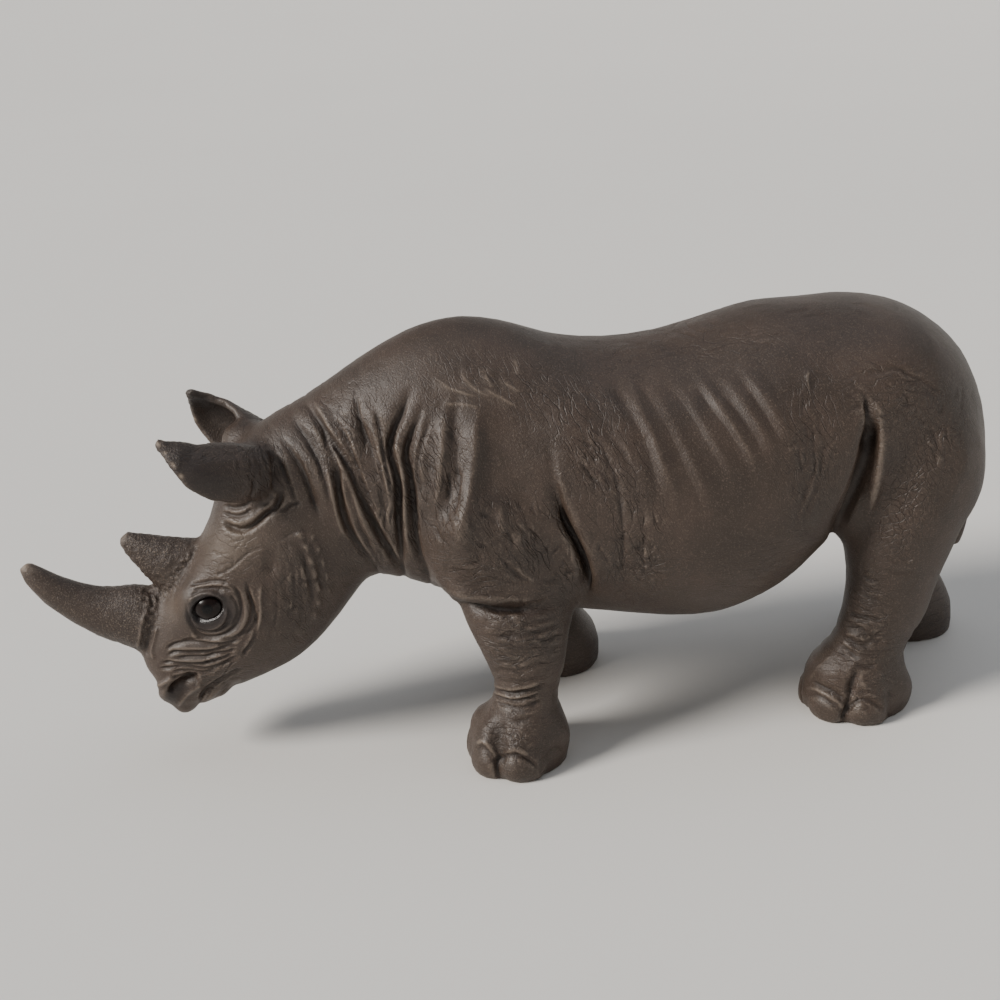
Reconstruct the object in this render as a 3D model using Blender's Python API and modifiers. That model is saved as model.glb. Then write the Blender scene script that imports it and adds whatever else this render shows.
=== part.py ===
"""A moulded rhinoceros figurine, standing on its four feet with its head held low.

The figure is one solid. It faces -X, its left side faces -Y, and +Z is up. The floor
is z = 0, and the origin is under the middle of the figure's box.

Every place on the body is a share of the figure's length: one share, SHARE, is a
millimetre when the figure is 160 mm long. The trunk and head are a row of sections
between a top line and a belly line, the limbs are level rings, and the folds are
lines drawn on a side view and carved into both sides.
"""

import math

import bmesh
import bpy
import numpy as np
from mathutils import Matrix, Vector

# Driving size, in metres
FIGURE_LENGTH = 0.160  # horn tip to rump

SHARE = FIGURE_LENGTH / 160

# How finely the form is worked, in shares, and how many triangles the solid keeps
ROUGH_CELL = 0.8
FINE_CELL = 0.5
BLEND_PASSES = 22
FINE_PASSES = 5
SOLID_TRIANGLES = 9600

# The trunk and head from rump to lips: top x, top z, belly x, belly z, half width,
# how far from the middle it is widest, and how square the section is
TRUNK = (
    (79.2, 46.4, 79.0, 33.0, 6.0, 0.0, 2.0),
    (78.3, 53.4, 76.8, 27.5, 11.5, 0.0, 2.0),
    (74.6, 60.4, 73.0, 24.6, 16.0, 0.05, 2.1),
    (67.8, 65.6, 67.6, 25.0, 19.2, 0.1, 2.2),
    (60.0, 67.6, 60.0, 30.4, 20.6, 0.05, 2.2),
    (51.0, 68.0, 51.0, 28.6, 21.6, -0.1, 2.1),
    (43.0, 68.1, 43.0, 22.2, 23.0, -0.15, 2.1),
    (34.0, 66.1, 34.0, 18.6, 23.6, -0.15, 2.1),
    (26.0, 64.7, 26.0, 18.4, 23.2, -0.15, 2.1),
    (18.0, 64.6, 18.0, 19.4, 22.0, -0.1, 2.1),
    (10.0, 66.0, 10.0, 20.6, 20.4, -0.05, 2.1),
    (3.0, 68.9, 3.0, 21.6, 18.6, -0.1, 2.0),
    (-4.0, 70.6, -4.0, 23.4, 17.2, -0.15, 1.95),
    (-11.0, 69.9, -10.0, 26.0, 16.0, -0.15, 1.95),
    (-18.0, 67.0, -14.6, 27.4, 14.6, -0.1, 2.0),
    (-24.6, 63.3, -18.6, 28.8, 13.2, -0.05, 2.0),
    (-31.0, 59.6, -22.4, 29.6, 12.0, 0.0, 2.1),
    (-36.0, 57.4, -26.0, 25.6, 11.2, 0.0, 2.2),
    (-40.6, 53.8, -30.0, 21.0, 10.8, 0.0, 2.3),
    (-44.6, 48.6, -35.4, 16.4, 10.6, 0.0, 2.4),
    (-46.8, 42.6, -41.4, 13.8, 10.2, 0.1, 2.5),
    (-49.8, 37.2, -46.4, 12.0, 9.2, 0.15, 2.5),
    (-54.0, 32.4, -50.6, 10.6, 7.8, 0.1, 2.4),
    (-57.6, 27.8, -53.8, 9.4, 6.8, 0.0, 2.3),
    (-60.0, 22.0, -56.2, 8.6, 5.8, -0.1, 2.2),
    (-59.8, 16.4, -57.6, 9.0, 4.4, -0.1, 2.0),
)
TRUNK_RING = 40
LIMB_RING = 28
SPLINE_STEPS = 4

# Level rings of a limb from under the sole: middle x, how far out from the spine,
# z, half length, half width. What lies below the floor is cut off.
FORE_LEFT = (
    (-1.4, 15.6, -4.0, 7.0, 6.8),
    (-1.4, 15.6, 0.0, 7.5, 7.1),
    (-1.4, 15.6, 4.0, 7.8, 7.4),
    (-1.2, 15.8, 7.0, 7.5, 7.3),
    (-0.5, 15.9, 10.0, 5.9, 6.3),
    (0.3, 15.7, 13.0, 5.4, 5.8),
    (0.6, 15.4, 17.0, 6.3, 6.1),
    (0.2, 15.0, 21.0, 7.4, 6.4),
    (0.0, 14.4, 25.0, 8.7, 6.8),
    (-0.1, 13.2, 29.0, 9.7, 7.2),
    (-0.4, 12.2, 34.0, 10.4, 7.8),
    (-1.0, 10.6, 42.0, 10.6, 8.0),
    (-1.0, 9.0, 52.0, 9.0, 6.6),
)
FORE_RIGHT = (
    (9.8, 15.0, -4.0, 7.0, 6.8),
    (9.8, 15.0, 0.0, 7.5, 7.1),
    (9.8, 15.2, 4.0, 7.8, 7.4),
    (9.7, 15.4, 7.0, 7.2, 7.3),
    (9.2, 15.4, 10.0, 5.8, 6.3),
    (9.2, 15.4, 13.0, 5.4, 5.8),
    (8.6, 15.2, 17.0, 6.0, 6.1),
    (7.0, 15.0, 21.0, 6.9, 6.4),
    (5.0, 14.4, 25.0, 8.2, 6.8),
    (3.0, 13.2, 29.0, 9.4, 7.2),
    (1.0, 12.2, 34.0, 10.4, 7.8),
    (-0.6, 10.6, 42.0, 10.6, 8.0),
    (-1.0, 9.0, 52.0, 9.0, 6.6),
)
HIND_LEFT = (
    (57.1, 12.2, -4.0, 7.6, 6.7),
    (57.1, 12.2, 0.0, 8.2, 7.0),
    (56.9, 12.2, 4.0, 8.5, 7.3),
    (56.4, 12.6, 7.0, 8.5, 7.2),
    (56.4, 13.2, 10.0, 7.8, 6.3),
    (58.6, 13.2, 13.0, 6.9, 5.6),
    (60.4, 13.4, 17.0, 7.2, 5.7),
    (61.4, 13.4, 21.0, 7.4, 6.0),
    (62.1, 13.2, 25.0, 7.8, 6.8),
    (62.9, 13.0, 30.0, 9.1, 7.8),
    (64.4, 12.6, 37.0, 9.9, 8.8),
    (66.2, 12.0, 45.0, 10.4, 8.6),
    (65.0, 10.0, 55.0, 9.0, 7.2),
)
HIND_RIGHT = (
    (76.0, 12.2, -4.0, 7.6, 6.7),
    (76.0, 12.2, 0.0, 8.2, 7.0),
    (75.8, 12.2, 4.0, 8.5, 7.3),
    (75.5, 12.6, 7.0, 8.2, 7.2),
    (75.4, 12.8, 10.0, 6.8, 6.3),
    (75.6, 13.2, 13.0, 6.2, 5.6),
    (75.0, 13.4, 17.0, 6.7, 5.7),
    (73.4, 13.4, 21.0, 7.1, 6.0),
    (71.4, 13.2, 25.0, 7.8, 6.8),
    (69.2, 13.0, 30.0, 9.4, 7.8),
    (67.4, 12.6, 37.0, 10.4, 8.8),
    (66.6, 12.0, 45.0, 10.4, 8.6),
    (65.0, 10.0, 55.0, 9.0, 7.2),
)
LIMBS = ((-1, FORE_LEFT), (1, FORE_RIGHT), (-1, HIND_LEFT), (1, HIND_RIGHT))

# Muscle and bone under the skin, as ellipsoids on both sides:
# middle (x, out, z), radii, turn about Y in degrees
MASSES = (
    ((-2.5, 11.8, 38.9), (12.6, 9.0, 11.7), -4),  # upper arm, above its skin roll
    ((-7.6, 10.4, 43.0), (6.2, 7.2, 11.0), 8),  # point of the shoulder
    ((3.0, 9.4, 49.0), (8.0, 7.0, 13.0), -20),  # shoulder blade
    ((66.2, 12.0, 43.0), (10.3, 9.6, 14.0), -7),  # thigh
    ((61.0, 11.6, 57.0), (6.4, 5.0, 5.4), 0),  # hip
    ((-33.0, 6.2, 38.0), (7.5, 5.6, 9.5), 35),  # cheek
    ((-48.4, 6.2, 30.2), (5.4, 4.0, 4.6), 0),  # brow
    ((-40.4, 6.0, 51.4), (4.4, 4.4, 4.4), 0),  # root of the ear
    ((-55.7, 2.2, 12.6), (3.2, 3.0, 3.6), 25),  # upper lip
    ((-58.6, 1.6, 19.8), (2.8, 3.6, 4.4), 10),  # nose, under the horn
)

# Finer forms, laid on once the body is smooth
EYEBALL = ((-48.2, 8.4, 29.2), (2.3, 1.9, 2.1), 0)
LIPS = (
    ((-55.5, 1.4, 10.2), (2.3, 2.8, 2.4), 20),  # tip of the upper lip
    ((-50.6, 2.0, 12.6), (4.0, 3.8, 2.5), -22),  # lower lip
)

# The horns: middle line x and z, half depth, half width, root to tip
FRONT_HORN = (
    (-56.6, 23.7, 6.3, 4.4),
    (-61.2, 25.9, 5.5, 4.2),
    (-65.4, 27.1, 4.5, 3.7),
    (-69.4, 29.1, 3.5, 3.1),
    (-73.2, 31.9, 2.7, 2.4),
    (-76.0, 35.0, 1.9, 1.7),
    (-77.2, 37.1, 1.1, 1.0),
)
REAR_HORN = (
    (-50.9, 32.2, 6.6, 4.2),
    (-54.4, 34.6, 4.9, 3.4),
    (-57.6, 36.9, 3.3, 2.5),
    (-60.0, 38.8, 2.0, 1.7),
    (-61.4, 40.0, 1.1, 1.1),
)

# The tail lies against the rump: x, y, z, half thickness, half width
TAIL = (
    (74.6, 0.0, 55.4, 2.6, 2.8),
    (78.0, 0.0, 49.0, 2.4, 2.6),
    (79.3, 0.0, 41.0, 2.1, 2.3),
    (79.0, -0.4, 34.0, 1.9, 2.1),
    (78.4, -0.8, 27.0, 1.8, 2.3),
    (77.6, -1.0, 22.4, 1.3, 1.9),
)

# Each ear is a cupped leaf: points of its middle line as x, out, z, then along that
# line its half width and how many degrees it wraps to each side of its back
LEFT_EAR_LINE = ((-36.6, 7.4, 51.0), (-42.2, 9.2, 51.9), (-47.7, 10.8, 53.1), (-52.7, 12.0, 59.2))
RIGHT_EAR_LINE = ((-36.5, 7.2, 49.8), (-41.9, 9.0, 51.4), (-46.9, 10.0, 54.5), (-49.5, 10.4, 60.0))
EAR_WIDTHS = (3.9, 4.4, 4.9, 5.1, 5.0, 4.3, 2.9, 1.0)
EAR_WRAPS = (150, 125, 100, 82, 68, 58, 50, 45)
LEFT_EAR_OPENS = (-0.45, -0.62, -0.64)
RIGHT_EAR_OPENS = (-0.5, -0.85, -0.1)
EAR_WALL = 1.3
EAR_ACROSS = 14

# Three nails on each foot: how far round the foot from the front towards its outer
# side in degrees, and the nail's half thickness, half width and half height
NAIL_TURNS = (-22, 33, 88)
NAIL = (1.5, 3.5, 3.3)
NAIL_RISE = 2.4
NAIL_INSET = 0.4
TOE = (2.6, 3.9, 4.6)
TOE_RISE = 4.6
TOE_INSET = 2.0

# Side drawings are seen from 22 degrees above and 6 degrees round, as the eye sees
# a figure on a table: this is how far a line of sight runs back and down
SIGHT_BACK = 0.105
SIGHT_DOWN = 0.407

# How strongly the skin must face outward to take a line's full depth, and how a
# drawn line fades out towards its ends
FACING_GAIN = 2.2
LINE_ENDS = 5
LINE_LEAST = 0.15

# Folds of the neck, drawn on a plane so far out from the spine
NECK_PLANE = 13
NECK_FOLDS = (
    (
        (-32.7, 60.7), (-30.3, 58), (-28.7, 55.3), (-27.3, 52.3),
        (-26, 48.7), (-25.7, 45.7), (-24.7, 42), (-23.7, 38),
    ),
    (
        (-28.3, 60.7), (-26, 57.3), (-24, 53.3), (-22.7, 49.3),
        (-22, 45.7), (-20.7, 41.7), (-19.3, 38), (-18.3, 34),
    ),
    ((-22.2, 60.7), (-22, 57.3), (-21.8, 54), (-21.5, 48.7), (-20.3, 44)),
    ((-14.8, 61.3), (-16.7, 58), (-17.7, 54.7), (-17.2, 51.3), (-17.2, 44), (-17.6, 38), (-17.7, 34)),
    ((-12.7, 59.7), (-14.3, 56.7), (-15.4, 52), (-15, 46.3), (-15.7, 42), (-15.6, 38), (-14.7, 34)),
    ((-33.3, 56), (-31.7, 52), (-30.3, 48), (-29.3, 44.7)),
)
NECK_DEPTH = 0.9
NECK_WIDTH = 0.8

# The deep crease behind the foreleg and the ridge behind it
ARM_PLANE = 22
ELBOW_CREASE = ((5.2, 51.5), (6.5, 46), (8, 41), (9.5, 37), (10, 33), (9.6, 29.5))
ELBOW_RIDGE = ((8.4, 48), (10.6, 42), (12.6, 37), (13.4, 31.5))
ELBOW_DEPTH = 1.8
ELBOW_WIDTH = 0.9
ELBOW_RIDGE_RISE = 0.6
ELBOW_RIDGE_WIDTH = 1.6

# The crease under the upper arm's skin roll
ARM_ROLL_PLANE = 19
ARM_ROLL = ((-13.5, 32.5), (-9, 30.4), (-4, 29), (2, 28.6), (8, 29))
ARM_ROLL_DEPTH = 1.1
ARM_ROLL_WIDTH = 1.1

# The deep crease in front of the thigh
FLANK_PLANE = 16
FLANK_CREASE = ((55.8, 53.5), (56, 50), (55.5, 46), (54.5, 42), (53.5, 38), (52, 34.6), (50.5, 32))
FLANK_DEPTH = 2.4
FLANK_WIDTH = 1.1

# Ribs that show through the skin, drawn on the arm's plane
RIBS = (
    ((17, 62), (20.5, 55), (24, 45.5)),
    ((21, 61), (25, 53), (28.5, 45)),
    ((25.6, 62), (29, 55), (33, 47.5)),
    ((29.4, 62.5), (33, 55), (37, 47.5)),
    ((33.2, 63), (37, 56), (40.6, 49.5)),
    ((36.8, 64), (40, 57.5), (43, 52)),
)
RIB_RISE = 0.4
RIB_WIDTH = 1.3

# Face lines: the mouth, the ring round the eye, the nostril
FACE_PLANE = 9
MOUTH = ((-53.4, 8.0), (-52.4, 11.2), (-49.2, 14.2), (-45.4, 17.6))
MOUTH_DEPTH = 0.9
MOUTH_WIDTH = 0.6
EYE_MIDDLE = (-48.2, 29.0)
EYE_RING = 3.0
EYE_RING_DEPTH = 0.5
EYE_RING_WIDTH = 0.5
NOSTRIL = (-55.4, 15.2)
NOSTRIL_DEPTH = 0.9
NOSTRIL_WIDTH = 1.0

# Rings of loose skin round the ankles, which end a little outside each leg
ANKLE_RINGS = (10.6, 12.6, 14.6)
ANKLE_REACH = 4
ANKLE_FADE = 2
ANKLE_DEPTH = 0.4
ANKLE_WIDTH = 0.5


def smooth_rows(rows, steps):
    """The rows with more between them, on one smooth curve through them all."""
    rows = np.array(rows, float)
    ends = np.vstack([2 * rows[0] - rows[1], rows, 2 * rows[-1] - rows[-2]])
    found = []
    for i in range(len(rows) - 1):
        before, start, end, after = ends[i : i + 4]
        for k in range(steps):
            t = k / steps
            bend = 2 * before - 5 * start + 4 * end - after
            twist = 3 * start - before - 3 * end + after
            found.append(start + 0.5 * t * (end - before + t * (bend + t * twist)))
    found.append(rows[-1])
    return found


def turns(count):
    return [2 * math.pi * i / count for i in range(count)]


def superellipse(turn, square):
    """A point on a unit section: 2 is an ellipse, and more is squarer."""
    across, up = math.sin(turn), math.cos(turn)
    power = 2 / square
    return math.copysign(abs(across) ** power, across), math.copysign(abs(up) ** power, up)


def trunk_ring(row):
    top_x, top_z, low_x, low_z, half_width, widest, square = row
    middle = Vector(((top_x + low_x) / 2, 0, (top_z + low_z) / 2))
    half = Vector(((top_x - low_x) / 2, 0, (top_z - low_z) / 2))
    ring = []
    for turn in turns(TRUNK_RING):
        across, up = superellipse(turn, square)
        level = up + widest * (1 - up * up)
        ring.append(middle + half * level + Vector((0, half_width * across, 0)))
    return ring


def level_ring(row, side):
    x, out, z, half_length, half_width = row
    return [
        Vector((x + half_length * math.cos(turn), side * out + half_width * math.sin(turn), z))
        for turn in turns(LIMB_RING)
    ]


def loft(shape, rings):
    """Skins a row of rings and closes both ends."""
    loops = [[shape.verts.new(point * SHARE) for point in ring] for ring in rings]
    count = len(loops[0])
    for low, high in zip(loops, loops[1:]):
        for i in range(count):
            after = (i + 1) % count
            shape.faces.new((low[i], low[after], high[after], high[i]))
    shape.faces.new(loops[0])
    shape.faces.new(loops[-1])


def bent_loft(shape, rows):
    """A horn or the tail: rings square to a line that bends in the XZ plane."""
    rows = smooth_rows(rows, SPLINE_STEPS)
    rings = []
    for i, row in enumerate(rows):
        ahead = rows[min(i + 1, len(rows) - 1)]
        behind = rows[max(i - 1, 0)]
        along = Vector((ahead[0] - behind[0], 0, ahead[2] - behind[2])).normalized()
        deep = along.cross(Vector((0, 1, 0))) * row[3]
        wide = Vector((0, row[4], 0))
        middle = Vector(row[:3])
        rings.append([middle + deep * math.cos(turn) + wide * math.sin(turn) for turn in turns(LIMB_RING)])
    loft(shape, rings)


def ellipsoid(shape, mass, side):
    (x, out, z), radii, turn = mass
    place = (
        Matrix.Translation(Vector((x, side * out, z)) * SHARE)
        @ Matrix.Rotation(math.radians(turn), 4, "Y")
        @ Matrix.Diagonal((*(Vector(radii) * SHARE), 1))
    )
    bmesh.ops.create_uvsphere(shape, u_segments=32, v_segments=16, radius=1, matrix=place)


def add_nails(shape):
    """Three nails and their toes round the front and outer side of each foot."""
    for side, rows in LIMBS:
        x, out, _, half_length, half_width = rows[2]
        for nail_turn in NAIL_TURNS:
            turn = math.radians(180 - side * nail_turn)
            for radii, rise, inset in ((NAIL, NAIL_RISE, NAIL_INSET), (TOE, TOE_RISE, TOE_INSET)):
                spot = Vector(
                    (
                        x + (half_length - inset) * math.cos(turn),
                        side * out + (half_width - inset) * math.sin(turn),
                        rise,
                    )
                )
                place = (
                    Matrix.Translation(spot * SHARE)
                    @ Matrix.Rotation(turn, 4, "Z")
                    @ Matrix.Diagonal((*(Vector(radii) * SHARE), 1))
                )
                bmesh.ops.create_uvsphere(shape, u_segments=24, v_segments=12, radius=1, matrix=place)


def add_ear(shape, line, opening, side):
    """A cupped leaf: arcs across a line, wrapped round its back and given a wall."""
    places = smooth_rows(line, 5)
    profile = smooth_rows(list(zip(EAR_WIDTHS, EAR_WRAPS)), 3)
    opens = Vector((opening[0], side * opening[1], opening[2]))
    made = []
    for i, place in enumerate(places):
        ahead = places[min(i + 1, len(places) - 1)]
        behind = places[max(i - 1, 0)]
        run = ahead - behind
        along = Vector((run[0], side * run[1], run[2])).normalized()
        mouth = (opens - along * opens.dot(along)).normalized()
        across = along.cross(mouth)
        at = i / (len(places) - 1) * (len(profile) - 1)
        half_width, wrap = profile[round(at)]
        reach = math.radians(wrap)
        radius = half_width / math.sin(min(reach, math.pi / 2))
        middle = Vector((place[0], side * place[1], place[2]))
        row = []
        for k in range(EAR_ACROSS + 1):
            turn = reach * (2 * k / EAR_ACROSS - 1)
            spot = middle + across * radius * math.sin(turn) - mouth * radius * math.cos(turn)
            row.append(shape.verts.new(spot * SHARE))
        made.append(row)
    faces = []
    for low, high in zip(made, made[1:]):
        for k in range(EAR_ACROSS):
            faces.append(shape.faces.new((low[k], low[k + 1], high[k + 1], high[k])))
    bmesh.ops.recalc_face_normals(shape, faces=faces)
    bmesh.ops.solidify(shape, geom=faces, thickness=EAR_WALL * SHARE)


def new_object(name, shape):
    mesh = bpy.data.meshes.new(name)
    shape.to_mesh(mesh)
    shape.free()
    made = bpy.data.objects.new(name, mesh)
    bpy.context.scene.collection.objects.link(made)
    return made


def apply_modifiers(made):
    """Bakes the object's modifiers into its mesh."""
    graph = bpy.context.evaluated_depsgraph_get()
    mesh = bpy.data.meshes.new_from_object(made.evaluated_get(graph))
    old = made.data
    made.modifiers.clear()
    made.data = mesh
    bpy.data.meshes.remove(old)


def fuse(made, cell, passes):
    """Makes overlapping shapes one skin, and smooths it."""
    remesh = made.modifiers.new("fuse", "REMESH")
    remesh.mode = "VOXEL"
    remesh.voxel_size = cell * SHARE
    smooth = made.modifiers.new("soften", "SMOOTH")
    smooth.factor = 0.5
    smooth.iterations = passes
    apply_modifiers(made)


def body():
    """The smooth body: trunk, limbs and the masses under the skin."""
    shape = bmesh.new()
    for mass in MASSES:
        ellipsoid(shape, mass, -1)
        ellipsoid(shape, mass, 1)
    loft(shape, [trunk_ring(row) for row in smooth_rows(TRUNK, SPLINE_STEPS)])
    for side, rows in LIMBS:
        loft(shape, [level_ring(row, side) for row in smooth_rows(rows, SPLINE_STEPS)])
    bmesh.ops.recalc_face_normals(shape, faces=shape.faces)
    made = new_object("body", shape)
    fuse(made, ROUGH_CELL, BLEND_PASSES)
    return made


def add_fine_forms(made):
    """Horns, ears, eyes, lips, nails and tail, fused to the body."""
    shape = bmesh.new()
    add_nails(shape)
    for mass in (EYEBALL, *LIPS):
        ellipsoid(shape, mass, -1)
        ellipsoid(shape, mass, 1)
    for rows in (FRONT_HORN, REAR_HORN):
        bent_loft(shape, [(x, 0, z, deep, wide) for x, z, deep, wide in rows])
    bent_loft(shape, TAIL)
    bmesh.ops.recalc_face_normals(shape, faces=shape.faces)
    add_ear(shape, LEFT_EAR_LINE, LEFT_EAR_OPENS, -1)
    add_ear(shape, RIGHT_EAR_LINE, RIGHT_EAR_OPENS, 1)
    shape.from_mesh(made.data)
    shape.to_mesh(made.data)
    shape.free()
    fuse(made, FINE_CELL, FINE_PASSES)


def mesh_arrays(mesh):
    """The mesh's points and point normals, in shares."""
    points = np.empty(len(mesh.vertices) * 3)
    mesh.vertices.foreach_get("co", points)
    normals = np.empty(len(mesh.vertices) * 3)
    mesh.vertices.foreach_get("normal", normals)
    return points.reshape(-1, 3) / SHARE, normals.reshape(-1, 3)


def side_drawing(points, plane):
    """Where each point falls on a side drawing made on a plane so far out."""
    back = plane - np.abs(points[:, 1])
    return np.stack([points[:, 0] - SIGHT_BACK * back, points[:, 2] + SIGHT_DOWN * back], 1)


def near_line(drawn, line, width):
    """How strongly a drawn line marks each point, fading out at the line's ends."""
    line = np.array(smooth_rows(line, 4))
    reach = 3 * width
    close = np.all((drawn > line.min(0) - reach) & (drawn < line.max(0) + reach), axis=1)
    near = drawn[close]
    found = np.zeros(len(near))
    for i in range(len(line) - 1):
        run = line[i + 1] - line[i]
        t = np.clip(((near - line[i]) @ run) / (run @ run), 0, 1)
        away = np.linalg.norm(near - line[i] - t[:, None] * run, axis=1)
        along = (i + t) / (len(line) - 1)
        fade = np.clip(np.minimum(along, 1 - along) * LINE_ENDS, LINE_LEAST, 1)
        found = np.maximum(found, fade * np.exp(-((away / width) ** 2)))
    share = np.zeros(len(drawn))
    share[close] = found
    return share


def facing_out(normals, points):
    """1 where the skin faces outward to its own side, 0 where it faces in or up."""
    return np.clip(normals[:, 1] * np.sign(points[:, 1]) * FACING_GAIN, 0, 1)


def carve(made):
    """Presses the folds into the skin and raises the ribs and rims."""
    points, normals = mesh_arrays(made.data)
    outer = facing_out(normals, points)
    rise = np.zeros(len(points))
    neck = side_drawing(points, NECK_PLANE)
    for line in NECK_FOLDS:
        rise -= NECK_DEPTH * near_line(neck, line, NECK_WIDTH)
    arm = side_drawing(points, ARM_PLANE)
    rise -= ELBOW_DEPTH * near_line(arm, ELBOW_CREASE, ELBOW_WIDTH)
    rise += ELBOW_RIDGE_RISE * near_line(arm, ELBOW_RIDGE, ELBOW_RIDGE_WIDTH)
    for line in RIBS:
        rise += RIB_RISE * near_line(arm, line, RIB_WIDTH)
    roll = side_drawing(points, ARM_ROLL_PLANE)
    rise -= ARM_ROLL_DEPTH * near_line(roll, ARM_ROLL, ARM_ROLL_WIDTH)
    flank = side_drawing(points, FLANK_PLANE)
    rise -= FLANK_DEPTH * near_line(flank, FLANK_CREASE, FLANK_WIDTH)
    face = side_drawing(points, FACE_PLANE)
    rise -= MOUTH_DEPTH * near_line(face, MOUTH, MOUTH_WIDTH)
    ring = np.abs(np.linalg.norm(face - EYE_MIDDLE, axis=1) - EYE_RING)
    rise -= EYE_RING_DEPTH * np.exp(-((ring / EYE_RING_WIDTH) ** 2))
    away = np.linalg.norm(face - NOSTRIL, axis=1)
    rise -= NOSTRIL_DEPTH * np.exp(-((away / NOSTRIL_WIDTH) ** 2))
    rise *= outer
    for side, rows in LIMBS:
        x, out, _, half_length, _ = rows[4]
        away = np.hypot(points[:, 0] - x, points[:, 1] - side * out)
        on_limb = np.clip((half_length + ANKLE_REACH - away) / ANKLE_FADE, 0, 1)
        for level in ANKLE_RINGS:
            rise -= ANKLE_DEPTH * on_limb * np.exp(-(((points[:, 2] - level) / ANKLE_WIDTH) ** 2))
    points += normals * rise[:, None]
    made.data.vertices.foreach_set("co", (points * SHARE).ravel())
    made.data.update()


def thin_out(made):
    """Leaves as few triangles as the form needs."""
    count = sum(len(face.vertices) - 2 for face in made.data.polygons)
    decimate = made.modifiers.new("thin out", "DECIMATE")
    decimate.ratio = SOLID_TRIANGLES / count
    apply_modifiers(made)


def stand(made):
    """Cuts the soles flat and puts the origin under the middle of the figure."""
    shape = bmesh.new()
    shape.from_mesh(made.data)
    everything = shape.verts[:] + shape.edges[:] + shape.faces[:]
    cut = bmesh.ops.bisect_plane(shape, geom=everything, plane_no=(0, 0, 1), clear_inner=True)
    rim = [edge for edge in cut["geom_cut"] if isinstance(edge, bmesh.types.BMEdge)]
    bmesh.ops.contextual_create(shape, geom=rim)
    bmesh.ops.triangulate(shape, faces=shape.faces)
    xs = [vert.co.x for vert in shape.verts]
    ys = [vert.co.y for vert in shape.verts]
    middle = Vector((min(xs) + max(xs), min(ys) + max(ys), 0)) / 2
    bmesh.ops.translate(shape, verts=shape.verts, vec=-middle)
    shape.to_mesh(made.data)
    shape.free()


def vinyl():
    """Dull grey-brown painted vinyl."""
    paint = bpy.data.materials.new("painted vinyl")
    paint.use_nodes = True
    shader = paint.node_tree.nodes["Principled BSDF"]
    shader.inputs["Base Color"].default_value = (0.10, 0.082, 0.068, 1)
    shader.inputs["Roughness"].default_value = 0.6
    shader.inputs["Metallic"].default_value = 0.0
    return paint


def main():
    for old in list(bpy.data.objects):
        bpy.data.objects.remove(old)
    figure = body()
    add_fine_forms(figure)
    carve(figure)
    thin_out(figure)
    stand(figure)
    figure.name = "rhinoceros"
    figure.data.materials.append(vinyl())
    home = bpy.data.collections.new("rhinoceros figurine")
    bpy.context.scene.collection.children.link(home)
    bpy.context.scene.collection.objects.unlink(figure)
    home.objects.link(figure)


main()
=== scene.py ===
"""The rhinoceros figurine, dressed: one moulded vinyl body and its two painted eyes.

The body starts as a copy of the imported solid. It is remeshed fine, its facets are
smoothed away, and the folds, wrinkles, nails and skin grain are worked into it by
moving its points. Lines on the skin are drawn in the photograph's pixels and seen
through the photograph's camera, and the right side repeats the left side's lines.
"""

import math

import bmesh
import bpy
import numpy as np
from mathutils import Matrix, Vector, noise


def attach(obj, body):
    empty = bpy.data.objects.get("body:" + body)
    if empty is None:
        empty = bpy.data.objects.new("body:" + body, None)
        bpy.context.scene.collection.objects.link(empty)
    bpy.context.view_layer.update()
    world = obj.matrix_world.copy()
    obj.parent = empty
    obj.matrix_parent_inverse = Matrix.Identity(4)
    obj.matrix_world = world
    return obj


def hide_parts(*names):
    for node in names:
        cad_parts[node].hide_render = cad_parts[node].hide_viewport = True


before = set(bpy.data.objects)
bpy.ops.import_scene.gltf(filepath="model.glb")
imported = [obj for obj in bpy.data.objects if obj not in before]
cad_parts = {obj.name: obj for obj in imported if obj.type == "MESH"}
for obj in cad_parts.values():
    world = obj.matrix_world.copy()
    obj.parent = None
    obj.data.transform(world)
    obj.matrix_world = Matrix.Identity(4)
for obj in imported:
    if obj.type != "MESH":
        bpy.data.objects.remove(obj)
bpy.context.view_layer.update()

MM = 0.001

# The camera of the photograph, in millimetres and degrees
LOOK_AT = np.array((-3.055, 3.158, 38.0))
AZIMUTH = -6.0
ELEVATION = 22.0
ROLL = 4.0
CAMERA_AWAY = 230.0
FOCAL_PIXELS = 1380.0
IMAGE_PIXELS = 1000
SENSOR_MM = 36.0

# How finely the body is worked, in millimetres, and how often its facets, then the
# whole, are smoothed
CELL = 0.25
FACET_PASSES = 55
LAST_PASSES = 4
BODY_TRIANGLES = 196000
THINNED = 0.6

# The spine's plane, and where the legs reach along the body, in millimetres
MIDDLE = 0.16
FORE_LEG_ENDS = (-24, 32)
HIND_LEG_START = 40

# Where thin parts begin and are whole, in millimetres: ahead of the middle, out from
# the spine, up. They are spared this share of the smoothing
EAR_ZONE = ((39, 43), (5, 7), (47, 50))
FRONT_HORN_ZONE = ((58, 62), (19, 22))
REAR_HORN_ZONE = ((58, 60), (32, 35))
REAR_HORN_FOOT = 38
REAR_HORN_LEAN = 0.55
SOLE_ZONE = (-3, -1)
SPARED = 0.85

# Where the face ends along the body, in millimetres: it is thinned least
FACE_ENDS = (-63.95, -39.95)

# Each left foot: middle, half length, half width, and how tall its nails stand
FORE_FOOT = (-4.5, -15.4, 8.0, 7.8, 1.0)
HIND_FOOT = (54.0, -12.0, 8.8, 7.6, 0.9)

# The inner nails: turned and spread so many degrees, then their height, their rise
# and the depth of the groove round them, in millimetres
INNER_NAIL = (32, 24, 5.2, 0.35, 0.3)

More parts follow.
